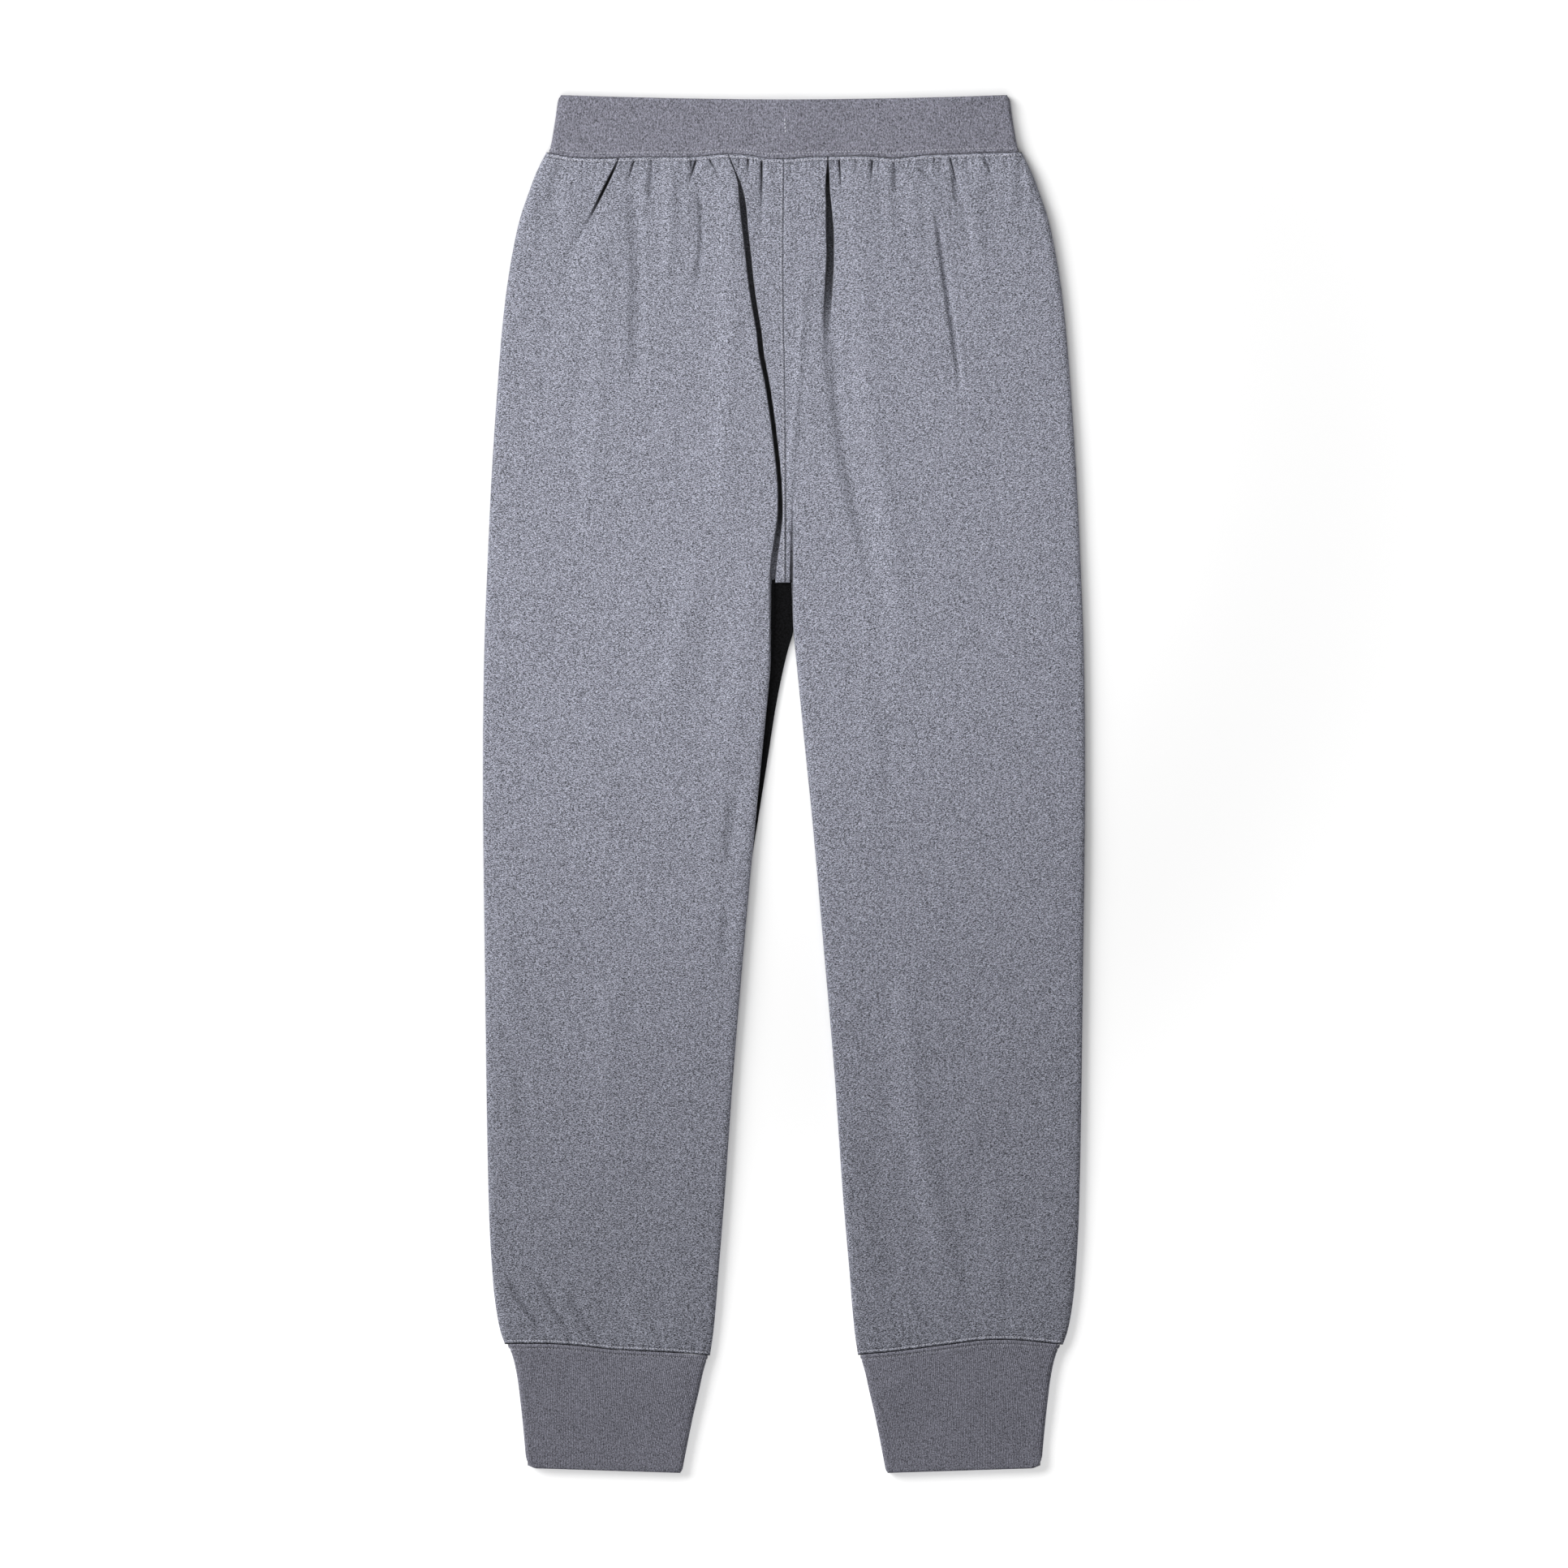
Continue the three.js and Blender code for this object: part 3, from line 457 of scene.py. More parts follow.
def back_surface(side, x, y):
    """Height of the back cloth away from its edges, and the painted shade of its folds and seams, with painted light
    and shade from its soft folds and a painted highlight on its seam lips.
    """
    drop = back_waist(x) - y
    rise = y - back_cuff(side)(x)
    centre = side * (x - smooth(CENTRE_BACK, y))
    relief = soft_relief(x, y)
    height = smooth(BACK_HEIGHT, y) + relief - edge_fall(side, x, y) - crotch_sink(x, y)
    height += uneven(side, x, y) + puckers(x, drop, rise)
    height += beside_seam(FLEECE_SEAM, drop) + beside_seam(FLEECE_SEAM, rise)
    height -= np.where(y > CROTCH_Y, 0.6 * swell(centre, 0.6), 0)
    if side < 0:
        height += 0.5 * bell(x - smooth(LEFT_FOLD, y) + 5.5, 5) * ease(y, 200, 300)
    depth, painted_shade = gather_relief(x, drop, [g for g in GATHERS if g[0] * side > 0])
    height -= depth
    for fold in LEG_FOLDS[side]:
        depth, shade = deep_fold(fold, x, y)
        height -= depth
        painted_shade = np.maximum(painted_shade, shade)
    painted_shade = np.maximum(painted_shade, seam_shade(x, y, drop, rise, centre))
    # Painted light and shade over the soft folds, lighter on ridges and darker in valleys, and a painted highlight on
    # the seam lips 1.7 mm from the waist and cuff seams; they go into the painted shade only where that is not already
    # deep
    tone = FOLD_PAINTED_LIGHT * relief + 0.3 * swell(np.minimum(drop, rise) - 1.7, 0.8)
    return np.maximum(height, FOLD_FLOOR), np.where(painted_shade > PAINTED_SHADE_FROM, painted_shade, painted_shade - tone)


def front_surface(side, x, y):
    """Height of the underside, flat but for the creases and puckers that the seams pull in."""
    drop = front_seam(x) - y
    rise = y - front_cuff(x)
    swing = 0.5 + 0.5 * np.sin(x / 1.55 + 1.7 * np.sin(x / 7.3) + side)
    depth = 1.3 * swing ** 3 * swell(drop, 9 + 6 * np.sin(x / 4.1)) * ease(drop, 1.2, 4.2)
    depth += 0.5 * swing ** 2 * np.exp(-np.maximum(rise, 0) / 6)
    for place, low, lean, deep in FRONT_CREASES:
        length = front_seam(0) - low
        fade = ease(y, low, low + 0.6 * length) * ease(drop, 1.5, 6)
        depth += deep * fade * swell(np.abs(x) - place - lean * drop, 1.7)
    for distance in (drop, rise):
        depth += 0.8 * np.maximum(-beside_seam(FLEECE_SEAM, distance), 0)
    centre = side * (x - smooth(FRONT_INSIDE, y))
    depth += np.where(y > FRONT_CROTCH_Y, 0.8 * swell(centre, 0.8), 0)
    return np.minimum(depth, FLEECE - 0.4), np.zeros_like(x)


def cloth_point(side, x, y, front):
    """Points of the outside and the inside of a panel in its plan, and the painted shade of its folds, which is
    painted light where negative.
    """
    distance, way_x, way_y = nearest_edge(side, x, y, front)
    turn = np.arccos(1 - np.clip(distance / LEG_CURL, 0, 1))
    if front:
        flat, painted_shade = front_surface(side, x, y)
        # In the gap below the crotch the front's edge lies lower, and its inside there shows with a near-black painted
        # shadow
        wedge = ease(y, -60, -20) * (1 - ease(side * x, 30, 50))
        level = EDGE_LEVEL - SEAM_GAP / 2 - 1.4 * wedge
        inside = np.full_like(flat, FLEECE)
    else:
        flat, painted_shade = back_surface(side, x, y)
        level = EDGE_LEVEL + SEAM_GAP / 2
        inside = back_lining(side, x, y)
    shift = FLEECE * np.cos(turn)
    outer = np.stack([x, y, level + (flat - level) * np.sin(turn) ** EDGE_FULLNESS], -1)
    inner = np.stack([x + way_x * shift, y + way_y * shift, level + (inside - level) * np.sin(turn)], -1)
    return outer, inner, painted_shade


def row_place(row, x, share, seams):
    """y along a row, which follows the waist seam at the top and the cuff seam at the bottom."""
    nominal = row[0] + (row[1] - row[0]) * share
    near_waist = np.clip(1 - (WAIST_LEVEL - nominal) / 60, 0, 1)
    near_cuff = np.clip(1 - (nominal - CUFF_LEVEL) / 60, 0, 1)
    return (
        nominal + near_waist * (seams[0](x) - WAIST_LEVEL - SEAM_GAP / 2)
        + near_cuff * (seams[1](x) - CUFF_LEVEL + SEAM_GAP / 2)
    )


def on_edge(row, share, seams, edge_at):
    """x at which a row meets an edge of its panel."""
    x = float(edge_at(row[share]))
    for _ in range(6):
        x = float(edge_at(row_place(row, x, share, seams)))
    return x


def columns(start, end, count, focus, start_curls):
    """x of the columns of a row, closer beside its focus lines and in its curled edges."""
    out = math.copysign(1, end - start)
    steps = LEG_CURL * (1 - np.cos(np.linspace(0, math.pi / 2, CURL_TURNS + 1)))[:-1]
    low = start + out * LEG_CURL if start_curls else start
    high = end - out * LEG_CURL
    grid = np.linspace(low, high, 700)
    density = np.ones_like(grid)
    for place, strength, reach in focus:
        density += strength * swell(grid - place, reach)
    total = np.concatenate([[0], np.cumsum((density[1:] + density[:-1]) / 2)])
    middle = np.interp(np.linspace(0, total[-1], count + 1), total, grid)
    head = start + out * steps if start_curls else np.array([])
    return np.concatenate([head, middle, (end - out * steps)[::-1]])


def spread(top, low, step):
    """Even rows from top down to just above low."""
    return [(y, y) for y in np.arange(top, low, -step)]


def panel_rows(side, front, fine):
    """Rows of a panel as x and y, with the number of leading points that nothing joins below."""
    seams = (front_seam, front_cuff) if front else (back_waist, back_cuff(side))

    def focus_at(y):
        if front:
            return []
        lines = [(LEFT_FOLD, 2.6, 4.2), (LEFT_DIAGONAL, 3.0, 2.6)] if side < 0 else [(RIGHT_FOLD, 2.6, 4.6)]
        places = [(float(smooth(line, y)), strength, reach) for line, strength, reach in lines]
        places.append((float(smooth(CENTRE_BACK, y)), 2.6, 1.6))
        if side > 0:
            places.append((float(smooth(SOFT_FOLDS[12][0], y)), 1.2, 4))
        if y > 446:
            near = [g for g in GATHERS if g[0] * side > 0 and g[3] > 1.4 and WAIST_LEVEL - y < 1.3 * g[1]]
            places += [(g[0] + g[2] * (WAIST_LEVEL - 1 - y), 2.2, 1.7) for g in near]
        return places

    def edge_x(y):
        return side * smooth(SIDE_SEAM, y)

    def inside_x(y):
        return of_leg(FRONT_INSIDE if front else INSIDE_SEAM, y, side)

    rows = []

    def add(row, start, count, start_curls):
        end = on_edge(row, 1, seams, edge_x)
        x = columns(start, end, count, focus_at(row[0]), start_curls)
        share = (x - start) / (end - start)
        rows.append([x, row_place(row, x, share, seams), 0])

    def centre(y):
        return float(smooth(FRONT_INSIDE if front else CENTRE_BACK, y)) + side * (FRONT_GAP if front else BACK_GAP) / 2

    bottom = FRONT_CROTCH_Y if front else CROTCH_Y
    for top, low, step, count, inside_step, inside_count in FRONT_BANDS if front else BACK_BANDS:
        last = count if fine else inside_count
        for row in spread(top, low, step if fine else inside_step):
            add(row, centre(row[0]), last, False)
    if front:
        for y in np.arange(149, bottom + 1, -4.0 if fine else -12):
            add((y, y), centre(y), last, False)
    else:
        turns = np.linspace(90, 0, 10 if fine else 4)
        for k, turn in enumerate(turns):
            low = CROTCH_Y + LEG_CURL * (1 - math.cos(math.radians(turn)))
            add((low, 160 - 15.0 * k / (len(turns) - 1)), centre(low), last, False)
        x, y, _ = rows[-1]
        corner = float(of_leg(INSIDE_SEAM, CROTCH_Y, side))
        first = int(np.argmin(np.abs(x - corner)))
        x[first] = corner
        y[:first + 1] = CROTCH_Y
        rows[-1][2] = first
    kind = "inside" if not fine else "front" if front else "back"
    leg_count, beside, leg_step, cuff_step, cuff_count = LEG_GRIDS[kind]
    inner_from = bottom - 1.4
    outer_from = bottom - 2 if front else 143.6
    legs = [
        (inner_from + (EVEN_FROM - inner_from) * k / beside, outer_from + (EVEN_FROM - outer_from) * k / beside)
        for k in range(beside)
    ]
    legs += spread(EVEN_FROM, CUFF_ROWS_FROM, leg_step)
    cuffs = spread(CUFF_ROWS_FROM, CUFF_LEVEL, cuff_step) + [(CUFF_LEVEL, CUFF_LEVEL)]
    for part, count in ((legs, leg_count), (cuffs, cuff_count)):
        for row in part:
            add(row, on_edge(row, 0, seams, inside_x), count, True)
    return rows


def zip_chains(points, first, second):
    """Triangles between two chains of points, by the shorter way across at each step."""
    faces, i, j = [], 0, 0
    while i < len(first) - 1 or j < len(second) - 1:
        step_first = step_second = math.inf
        if i < len(first) - 1:
            step_first = np.sum((points[first[i + 1]] - points[second[j]]) ** 2)
        if j < len(second) - 1:
            step_second = np.sum((points[first[i]] - points[second[j + 1]]) ** 2)
        if step_first <= step_second:
            faces.append((first[i], first[i + 1], second[j]))
            i += 1
        else:
            faces.append((first[i], second[j + 1], second[j]))
            j += 1
    return faces


def skin(rows, offset):
    """Faces of a skin over its rows, and the chains of points along its four borders."""
    starts, count = [], offset
    for x, _, _ in rows:
        starts.append(count)
        count += len(x)
    lines = [np.arange(s, s + len(row[0])) for s, row in zip(starts, rows)]
    plan = np.concatenate([np.stack([x, y], -1) for x, y, _ in rows])
    faces = []
    for (upper, lower), (_, _, free) in zip(zip(lines, lines[1:]), rows):
        upper = upper[free:]
        if len(upper) == len(lower):
            faces.append(np.stack([upper[:-1], upper[1:], lower[1:], lower[:-1]], -1).tolist())
        else:
            joined = zip_chains(plan, upper - offset, lower - offset)
            faces.append([tuple(int(c) + offset for c in face) for face in joined])
    start = [int(i) for line, row in zip(lines, rows) for i in line[: row[2] + 1]]
    borders = (
        [int(i) for i in lines[0]],
        [int(line[-1]) for line in lines],
        [int(i) for i in lines[-1]],
        start,
    )
    return [tuple(int(c) for c in f) for group in faces for f in group], borders, count


def build_mesh(name, points, faces, materials, shade=None, flat_over=50, second=None):
    """Mesh object from points in millimetres, with its painted fold shade kept as an attribute.

    second says which of its faces have the second of its materials."""
    mesh = bpy.data.meshes.new(name)
    mesh.from_pydata((np.asarray(points) * MM).tolist(), [], faces)
    work = bmesh.new()
    work.from_mesh(mesh)
    bmesh.ops.recalc_face_normals(work, faces=work.faces)
    work.to_mesh(mesh)
    work.free()
    if shade is not None:
        layer = mesh.attributes.new("painted_fold_shade", "FLOAT", "POINT")
        layer.data.foreach_set("value", np.asarray(shade, np.float32))
    mesh.shade_smooth()
    mesh.set_sharp_from_angle(angle=math.radians(flat_over))
    for material in materials:
        mesh.materials.append(material)
    if second is not None:
        mesh.polygons.foreach_set("material_index", np.asarray(second, np.int32))
    item = bpy.data.objects.new(name, mesh)
    bpy.context.scene.collection.objects.link(item)
    return item


def panel(name, side, front, material):
    """One leg panel: a fine outer skin and a coarse inner one, closed round its borders."""
    outer_rows = panel_rows(side, front, True)
    inner_rows = panel_rows(side, front, False)
    faces, borders, count = skin(outer_rows, 0)
    more, inner_borders, total = skin(inner_rows, count)
    x = np.concatenate([row[0] for row in outer_rows])
    y = np.concatenate([row[1] for row in outer_rows])
    outer, _, painted_shade = cloth_point(side, x, y, front)
    x = np.concatenate([row[0] for row in inner_rows])
    y = np.concatenate([row[1] for row in inner_rows])
    _, inner, _ = cloth_point(side, x, y, front)
    points = np.concatenate([outer, inner])
    outside = len(faces)
    faces += more
    for border, opposite in zip(borders, inner_borders):
        faces += zip_chains(points, border, opposite)
    second = np.arange(len(faces)) >= outside
    shade = np.concatenate([painted_shade, np.zeros(len(inner))])
    # Its inside faces take the near-black painted shadow, which shows only in the gap at the crotch
    return build_mesh(name, points, faces, (material, inside_painted_shadow), shade, 50, second)


def corner_draw(distance, radius):
    """How far a rounded corner draws an edge back, at a distance from the corner's end."""
    inside = np.clip(radius - distance, 0, radius)
    return radius - np.sqrt(radius * radius - inside * inside)


def ring(low, high, height, inset, count):
    """Outline of a flattened tube as x, z and its outward normal, at even steps round it."""
    dense = 3000
    turns = np.linspace(math.pi / 2, 3 * math.pi / 2, 160)
    curl, half = RIB_CURL - inset, height / 2 - inset
    low, high = low + inset, high - inset
    rise = half * np.sign(np.sin(turns)) * np.abs(np.sin(turns)) ** EDGE_FULLNESS
    left = np.stack([low + curl + curl * np.cos(turns), height / 2 + rise], -1)
    right = np.stack([high - curl - curl * np.cos(turns), height / 2 - rise], -1)
    top = np.stack([np.linspace(high - curl, low + curl, dense), np.full(dense, height / 2 + half)], -1)
    under = np.stack([np.linspace(low + curl, high - curl, dense), np.full(dense, height / 2 - half)], -1)
    path = np.concatenate([top, left[1:], under[1:], right[1:]])
    length = np.concatenate([[0], np.cumsum(np.hypot(*np.diff(path, axis=0).T))])
    at = np.arange(count) / count * length[-1]
    x, z = np.interp(at, length, path[:, 0]), np.interp(at, length, path[:, 1])
    ahead, behind = (at + 0.3) % length[-1], (at - 0.3) % length[-1]
    dx = np.interp(ahead, length, path[:, 0]) - np.interp(behind, length, path[:, 0])
    dz = np.interp(ahead, length, path[:, 1]) - np.interp(behind, length, path[:, 1])
    size = np.maximum(np.hypot(dx, dz), 1e-9)
    return x, z, dz / size, -dx / size


def band_puff(x, y):
    """Soft rise of a ribbed band."""
    total = np.zeros_like(x)
    for place, level, across, along, height in BAND_PUFFS:
        total += height * np.exp(-(((x - place) / across) ** 2) - ((y - level) / along) ** 2)
    return total


def rib_skin(tube, distances, inset, count, ribbed):
    """Rings of one skin of a ribbed tube, each a distance from the rim."""
    rings = []
    for distance in distances:
        share = 1 - distance / tube["length"]
        low, high = tube["sides"](share)
        x, z, nx, nz = ring(low, high, tube["height"], inset, count)
        upper = ease(z, 0.35 * tube["height"], 0.65 * tube["height"])
        seam = tube["seam"](x, 1) * upper + tube["seam"](x, -1) * (1 - upper)
        rim = tube["rim"](x)
        y = seam + (rim - seam) * share
        from_seam = np.abs(y - seam)
        lift = np.zeros_like(x)
        if ribbed:
            phase = np.arange(count) / count * tube["ribs"] * 2 * math.pi
            lift += RIB_DEPTH / 2 * (np.cos(phase + 0.5 * np.sin(y / 31)) - 1)
            lift += beside_seam(RIB_SEAM, from_seam)
            lift += band_puff(x, y) * upper - 0.02
            radius = tube["thickness"] / 2
            lift -= radius - np.sqrt(np.maximum(radius**2 - np.maximum(radius - distance, 0) ** 2, 0))
        else:
            radius = tube["thickness"] / 2
            lift += radius - np.sqrt(np.maximum(radius**2 - np.maximum(radius - distance, 0) ** 2, 0))
        z = np.maximum(z + nz * lift, 0.0)
        rings.append(np.stack([x + nx * lift, y, z], -1))
    return rings


def ring_faces(first, second, count):
    """Faces between two rings of the same count."""
    here = np.arange(count)
    ahead = (here + 1) % count
    return np.stack([first + here, first + ahead, second + ahead, second + here], -1).tolist()


def rib_tube(name, tube, material):
    """Ribbed tube: its knitted outside, its plain inside, and the folded rim between them."""
    count = tube["ribs"] * 4
    coarse = tube["ribs"] // 2
    radius = tube["thickness"] / 2
    length = tube["length"]
    rim = [radius * (1 - math.cos(a)) for a in np.linspace(0, math.pi / 2, 6)]
    middle = list(np.linspace(radius, length - 7, tube["levels"]))[1:]
    seam = [length - d for d in (6.0, 5.2, 4.6, 4.1, 3.6, 3.0, 2.3, 1.7, 1.2, 0.8, 0.4, 0)]
    outer = rib_skin(tube, rim + middle + seam, 0, count, True)
    inner = rib_skin(tube, rim + [0.3 * length, 0.7 * length, length], tube["thickness"], coarse, False)
    points = np.concatenate(outer + inner)
    faces = []
    for k in range(len(outer) - 1):
        faces += ring_faces(k * count, (k + 1) * count, count)
    base = len(outer) * count
    for k in range(len(inner) - 1):
        faces += ring_faces(base + k * coarse, base + (k + 1) * coarse, coarse)
    for outer_at, inner_at in ((0, base), ((len(outer) - 1) * count, base + (len(inner) - 1) * coarse)):
        first = [outer_at + i % count for i in range(count + 1)]
        second = [inner_at + i % coarse for i in range(coarse + 1)]
        faces += zip_chains(points, first, second)
    return build_mesh(name, points, [tuple(int(c) for c in f) for f in faces], (material,), None, 60)


def waist_sides(share):
    half = WAIST_HALF_SEAM + (WAIST_HALF_TOP - WAIST_HALF_SEAM) * max(share, 0) ** 0.75
    return -half, half


def waist_rim(x):
    share = np.minimum(np.abs(x) / WAIST_HALF_TOP, 1)
    dip = WAIST_TOP_DIP * (1 - share**1.8)
    return WAIST_TOP - dip - corner_draw(WAIST_HALF_TOP - np.abs(x), WAIST_CORNER)


def cuff_sides(side):
    def sides(share):
        ends = (side * float(smooth(CUFF_SIDES, share, 1)), side * float(smooth(CUFF_SIDES, share, 2)))
        return min(ends), max(ends)

    return sides


def cuff_rim(x):
    inner, outer = CUFF_SIDES[-1][1:]
    out = np.clip(np.abs(x), inner, outer)
    return (
        np.interp(out, [inner, outer], [HEM_INNER, HEM_OUTER])
        + corner_draw(outer - out, HEM_OUTER_CORNER) + corner_draw(out - inner, HEM_INNER_CORNER)
    )


WAIST_TUBE = {
    "thickness": WAIST_RIB, "height": WAIST_HEIGHT, "length": WAISTBAND_LENGTH, "levels": 9, "ribs": WAIST_RIBS,
    "sides": waist_sides, "rim": waist_rim,
    "seam": lambda x, layer: (back_waist(x) if layer > 0 else front_seam(x)) + SEAM_GAP / 2,
}


def cuff_tube(side):
    back = back_cuff(side)
    return {
        "thickness": CUFF_RIB, "height": CUFF_HEIGHT, "length": CUFF_LENGTH, "levels": 16, "ribs": CUFF_RIBS,
        "sides": cuff_sides(side), "rim": cuff_rim,
        "seam": lambda x, layer: (back(x) if layer > 0 else front_cuff(x)) - SEAM_GAP / 2,
    }


def stitch_shape(rounds=6, bands=4):
    """Unit stitch: a small closed bead along X."""
    points, faces = [(-1.0, 0, 0)], []
    for b in range(1, bands):
        a = math.pi * b / bands
        for r in range(rounds):
            t = 2 * math.pi * r / rounds
            radius = math.sin(a) ** 0.7
            points.append((-math.cos(a), radius * math.cos(t), radius * math.sin(t)))
    points.append((1.0, 0, 0))
    last = len(points) - 1
    for r in range(rounds):
        s = (r + 1) % rounds
        faces.append((0, 1 + s, 1 + r))
        for b in range(bands - 2):
            base = 1 + b * rounds
            faces.append((base + r, base + s, base + rounds + s, base + rounds + r))
        faces.append((last, last - rounds + r, last - rounds + s))
    return np.array(points), faces


def stitches(name, paths, material):
    """Rows of thread along paths. A path is its points, their normals, stitch length, width and slant."""
    shape, shape_faces = stitch_shape()
    points, faces = [], []
    for line, normals, long, wide, slant in paths:
        length = np.concatenate([[0], np.cumsum(np.linalg.norm(np.diff(line, axis=0), axis=1))])
        count = max(int(length[-1] / STITCH_PITCH), 1)
        for k in range(count):
            at = (k + 0.5) * length[-1] / count
            place = np.array([np.interp(at, length, line[:, c]) for c in range(3)])
            up = np.array([np.interp(at, length, normals[:, c]) for c in range(3)])
            ahead = np.array([np.interp(at + 0.5, length, line[:, c]) for c in range(3)])
            behind = np.array([np.interp(at - 0.5, length, line[:, c]) for c in range(3)])
            along = ahead - behind
            along /= max(np.linalg.norm(along), 1e-9)
            up = up - along * np.dot(up, along)
            up /= max(np.linalg.norm(up), 1e-9)
            beside = np.cross(up, along)
            lean = slant if k % 2 else -slant
            way = along * math.cos(lean) + beside * math.sin(lean)
            across = np.cross(up, way)
            base = len(points)
            for u, v, w in shape:
                points.append(place + way * u * long / 2 + across * v * wide / 2 + up * w * wide * 0.36)
            faces += [tuple(base + c for c in f) for f in shape_faces]
    return build_mesh(name, np.array(points), faces, (material,), None, 80)


def fleece_row(seam, side, front, offset, ends):
    """Path of a row of stitches on the fleece, a distance from a seam."""
    x = np.linspace(ends[0], ends[1], 900)
    y = seam(x) + offset
    outer, _, _ = cloth_point(side, x, y, front)
    return outer, np.tile([0.0, 0.0, -1.0 if front else 1.0], (len(x), 1))


def rib_row(tube, offset, layer):
    """Path of a row of stitches on a ribbed band, a distance from its seam."""
    share = offset / tube["length"]
    low, high = tube["sides"](share)
    x = np.linspace(low + 0.4, high - 0.4, 900)
    seam = tube["seam"](x, layer)
    y = seam + (tube["rim"](x) - seam) * share
    inside = np.minimum(x - low, high - x)
    turn = np.arccos(1 - np.clip(inside / RIB_CURL, 0, 1))
    half = tube["height"] / 2
    z = half + layer * (half - 0.35) * np.sin(turn) ** EDGE_FULLNESS
    if layer > 0:
        z = z + band_puff(x, y)
    normal = np.stack([np.sign(x - (low + high) / 2) * np.cos(turn), 0 * x, layer * np.sin(turn)], -1)
    return np.stack([x, y, z], -1), normal


# Materials


def nodes_of(name):
    material = bpy.data.materials.new(name)
    material.use_nodes = True
    return material, material.node_tree.nodes, material.node_tree.links


NOISE_TILT = (0.62, 0.47, 0.35)


def noise(nodes, links, vector, scale, turn, detail):
    """Noise stretched by its own scale along each axis, in object coordinates, its grid tilted off the cloth."""
    mapping = nodes.new("ShaderNodeMapping")
    mapping.vector_type = "TEXTURE"
    mapping.inputs["Rotation"].default_value = (0, 0, math.radians(turn))
    mapping.inputs["Scale"].default_value = tuple(MM * s for s in scale)
    links.new(vector, mapping.inputs["Vector"])
    tilt = nodes.new("ShaderNodeVectorRotate")
    tilt.rotation_type = "EULER_XYZ"
    tilt.inputs["Rotation"].default_value = NOISE_TILT
    links.new(mapping.outputs["Vector"], tilt.inputs["Vector"])
    texture = nodes.new("ShaderNodeTexNoise")
    texture.inputs["Scale"].default_value = 1.0
    texture.inputs["Detail"].default_value = detail
    texture.inputs["Roughness"].default_value = 0.55
    links.new(tilt.outputs["Vector"], texture.inputs["Vector"])
    return texture.outputs["Fac"]


def ranged(nodes, links, value, low, high, to_low, to_high):
    """A value carried from one range to another."""
    node = nodes.new("ShaderNodeMapRange")
    node.inputs["From Min"].default_value = low
    node.inputs["From Max"].default_value = high
    node.inputs["To Min"].default_value = to_low
    node.inputs["To Max"].default_value = to_high
    links.new(value, node.inputs["Value"])
    return node.outputs["Result"]


def maths(nodes, links, kind, first, second):
    """Two values joined by an operation."""
    node = nodes.new("ShaderNodeMath")
    node.operation = kind
    for socket, value in zip(node.inputs, (first, second)):
        if isinstance(value, (int, float)):
            socket.default_value = value
        else:
            links.new(value, socket)
    return node.outputs["Value"]


def knit(name, colour, slub, turn, grain, contrast, mottle, nap, roughness, sheen):
    """Marl knit: stretched slubs and grain of lighter and darker fibre, slow mottling, and a nap, darkened by the
    painted shade of folds and seams and lightened where that painted shade is negative.
    """
    material, nodes, links = nodes_of(name)
    shader = nodes["Principled BSDF"]
    place = nodes.new("ShaderNodeTexCoord").outputs["Object"]
    slubs = noise(nodes, links, place, slub, turn, 2.0)
    fibres = noise(nodes, links, place, grain, turn * 0.5, 1.0)
    cloud = noise(nodes, links, place, (26, 20, 20), 20, 2.0)
    patch = noise(nodes, links, place, (5.5, 3.6, 5), turn, 1.0)
    slub_tone = ranged(nodes, links, slubs, 0.3, 0.7, -contrast, contrast)
    grain_tone = ranged(nodes, links, fibres, 0.3, 0.7, -contrast * 0.8, contrast * 0.8)
    cloud_tone = ranged(nodes, links, cloud, 0.3, 0.7, -mottle, mottle)
    patch_tone = ranged(nodes, links, patch, 0.3, 0.7, -mottle * 1.6, mottle * 1.6)
    tone = maths(nodes, links, "ADD", slub_tone, grain_tone)
    tone = maths(nodes, links, "ADD", tone, cloud_tone)
    tone = maths(nodes, links, "ADD", tone, patch_tone)
    gain = maths(nodes, links, "ADD", tone, 1.0)
    gain = maths(nodes, links, "MAXIMUM", gain, 0.15)
    # The cloth's fold attribute is painted shade of folds and seams that darkens the colour; where it is negative it
    # is painted light
    fold = nodes.new("ShaderNodeAttribute")
    fold.attribute_name = "painted_fold_shade"
    left = maths(nodes, links, "SUBTRACT", 1.0, maths(nodes, links, "MULTIPLY", fold.outputs["Fac"], 0.98))
    gain = maths(nodes, links, "MULTIPLY", gain, left)
    scale = nodes.new("ShaderNodeVectorMath")
    scale.operation = "SCALE"
    scale.inputs[0].default_value = colour
    links.new(gain, scale.inputs["Scale"])
    links.new(scale.outputs["Vector"], shader.inputs["Base Color"])
    rough = ranged(nodes, links, slubs, 0.3, 0.7, roughness - 0.05, roughness + 0.03)
    links.new(rough, shader.inputs["Roughness"])
    shader.inputs["Specular IOR Level"].default_value = 0.2
    shader.inputs["Sheen Weight"].default_value = sheen
    shader.inputs["Sheen Roughness"].default_value = 0.6
    bump = nodes.new("ShaderNodeBump")
    bump.inputs["Strength"].default_value = nap
    bump.inputs["Distance"].default_value = 0.0004
    links.new(maths(nodes, links, "ADD", slubs, fibres), bump.inputs["Height"])
    links.new(bump.outputs["Normal"], shader.inputs["Normal"])
    return material


FLEECE_COLOUR = (0.222, 0.228, 0.272)
RIB_COLOUR = (0.188, 0.188, 0.227)
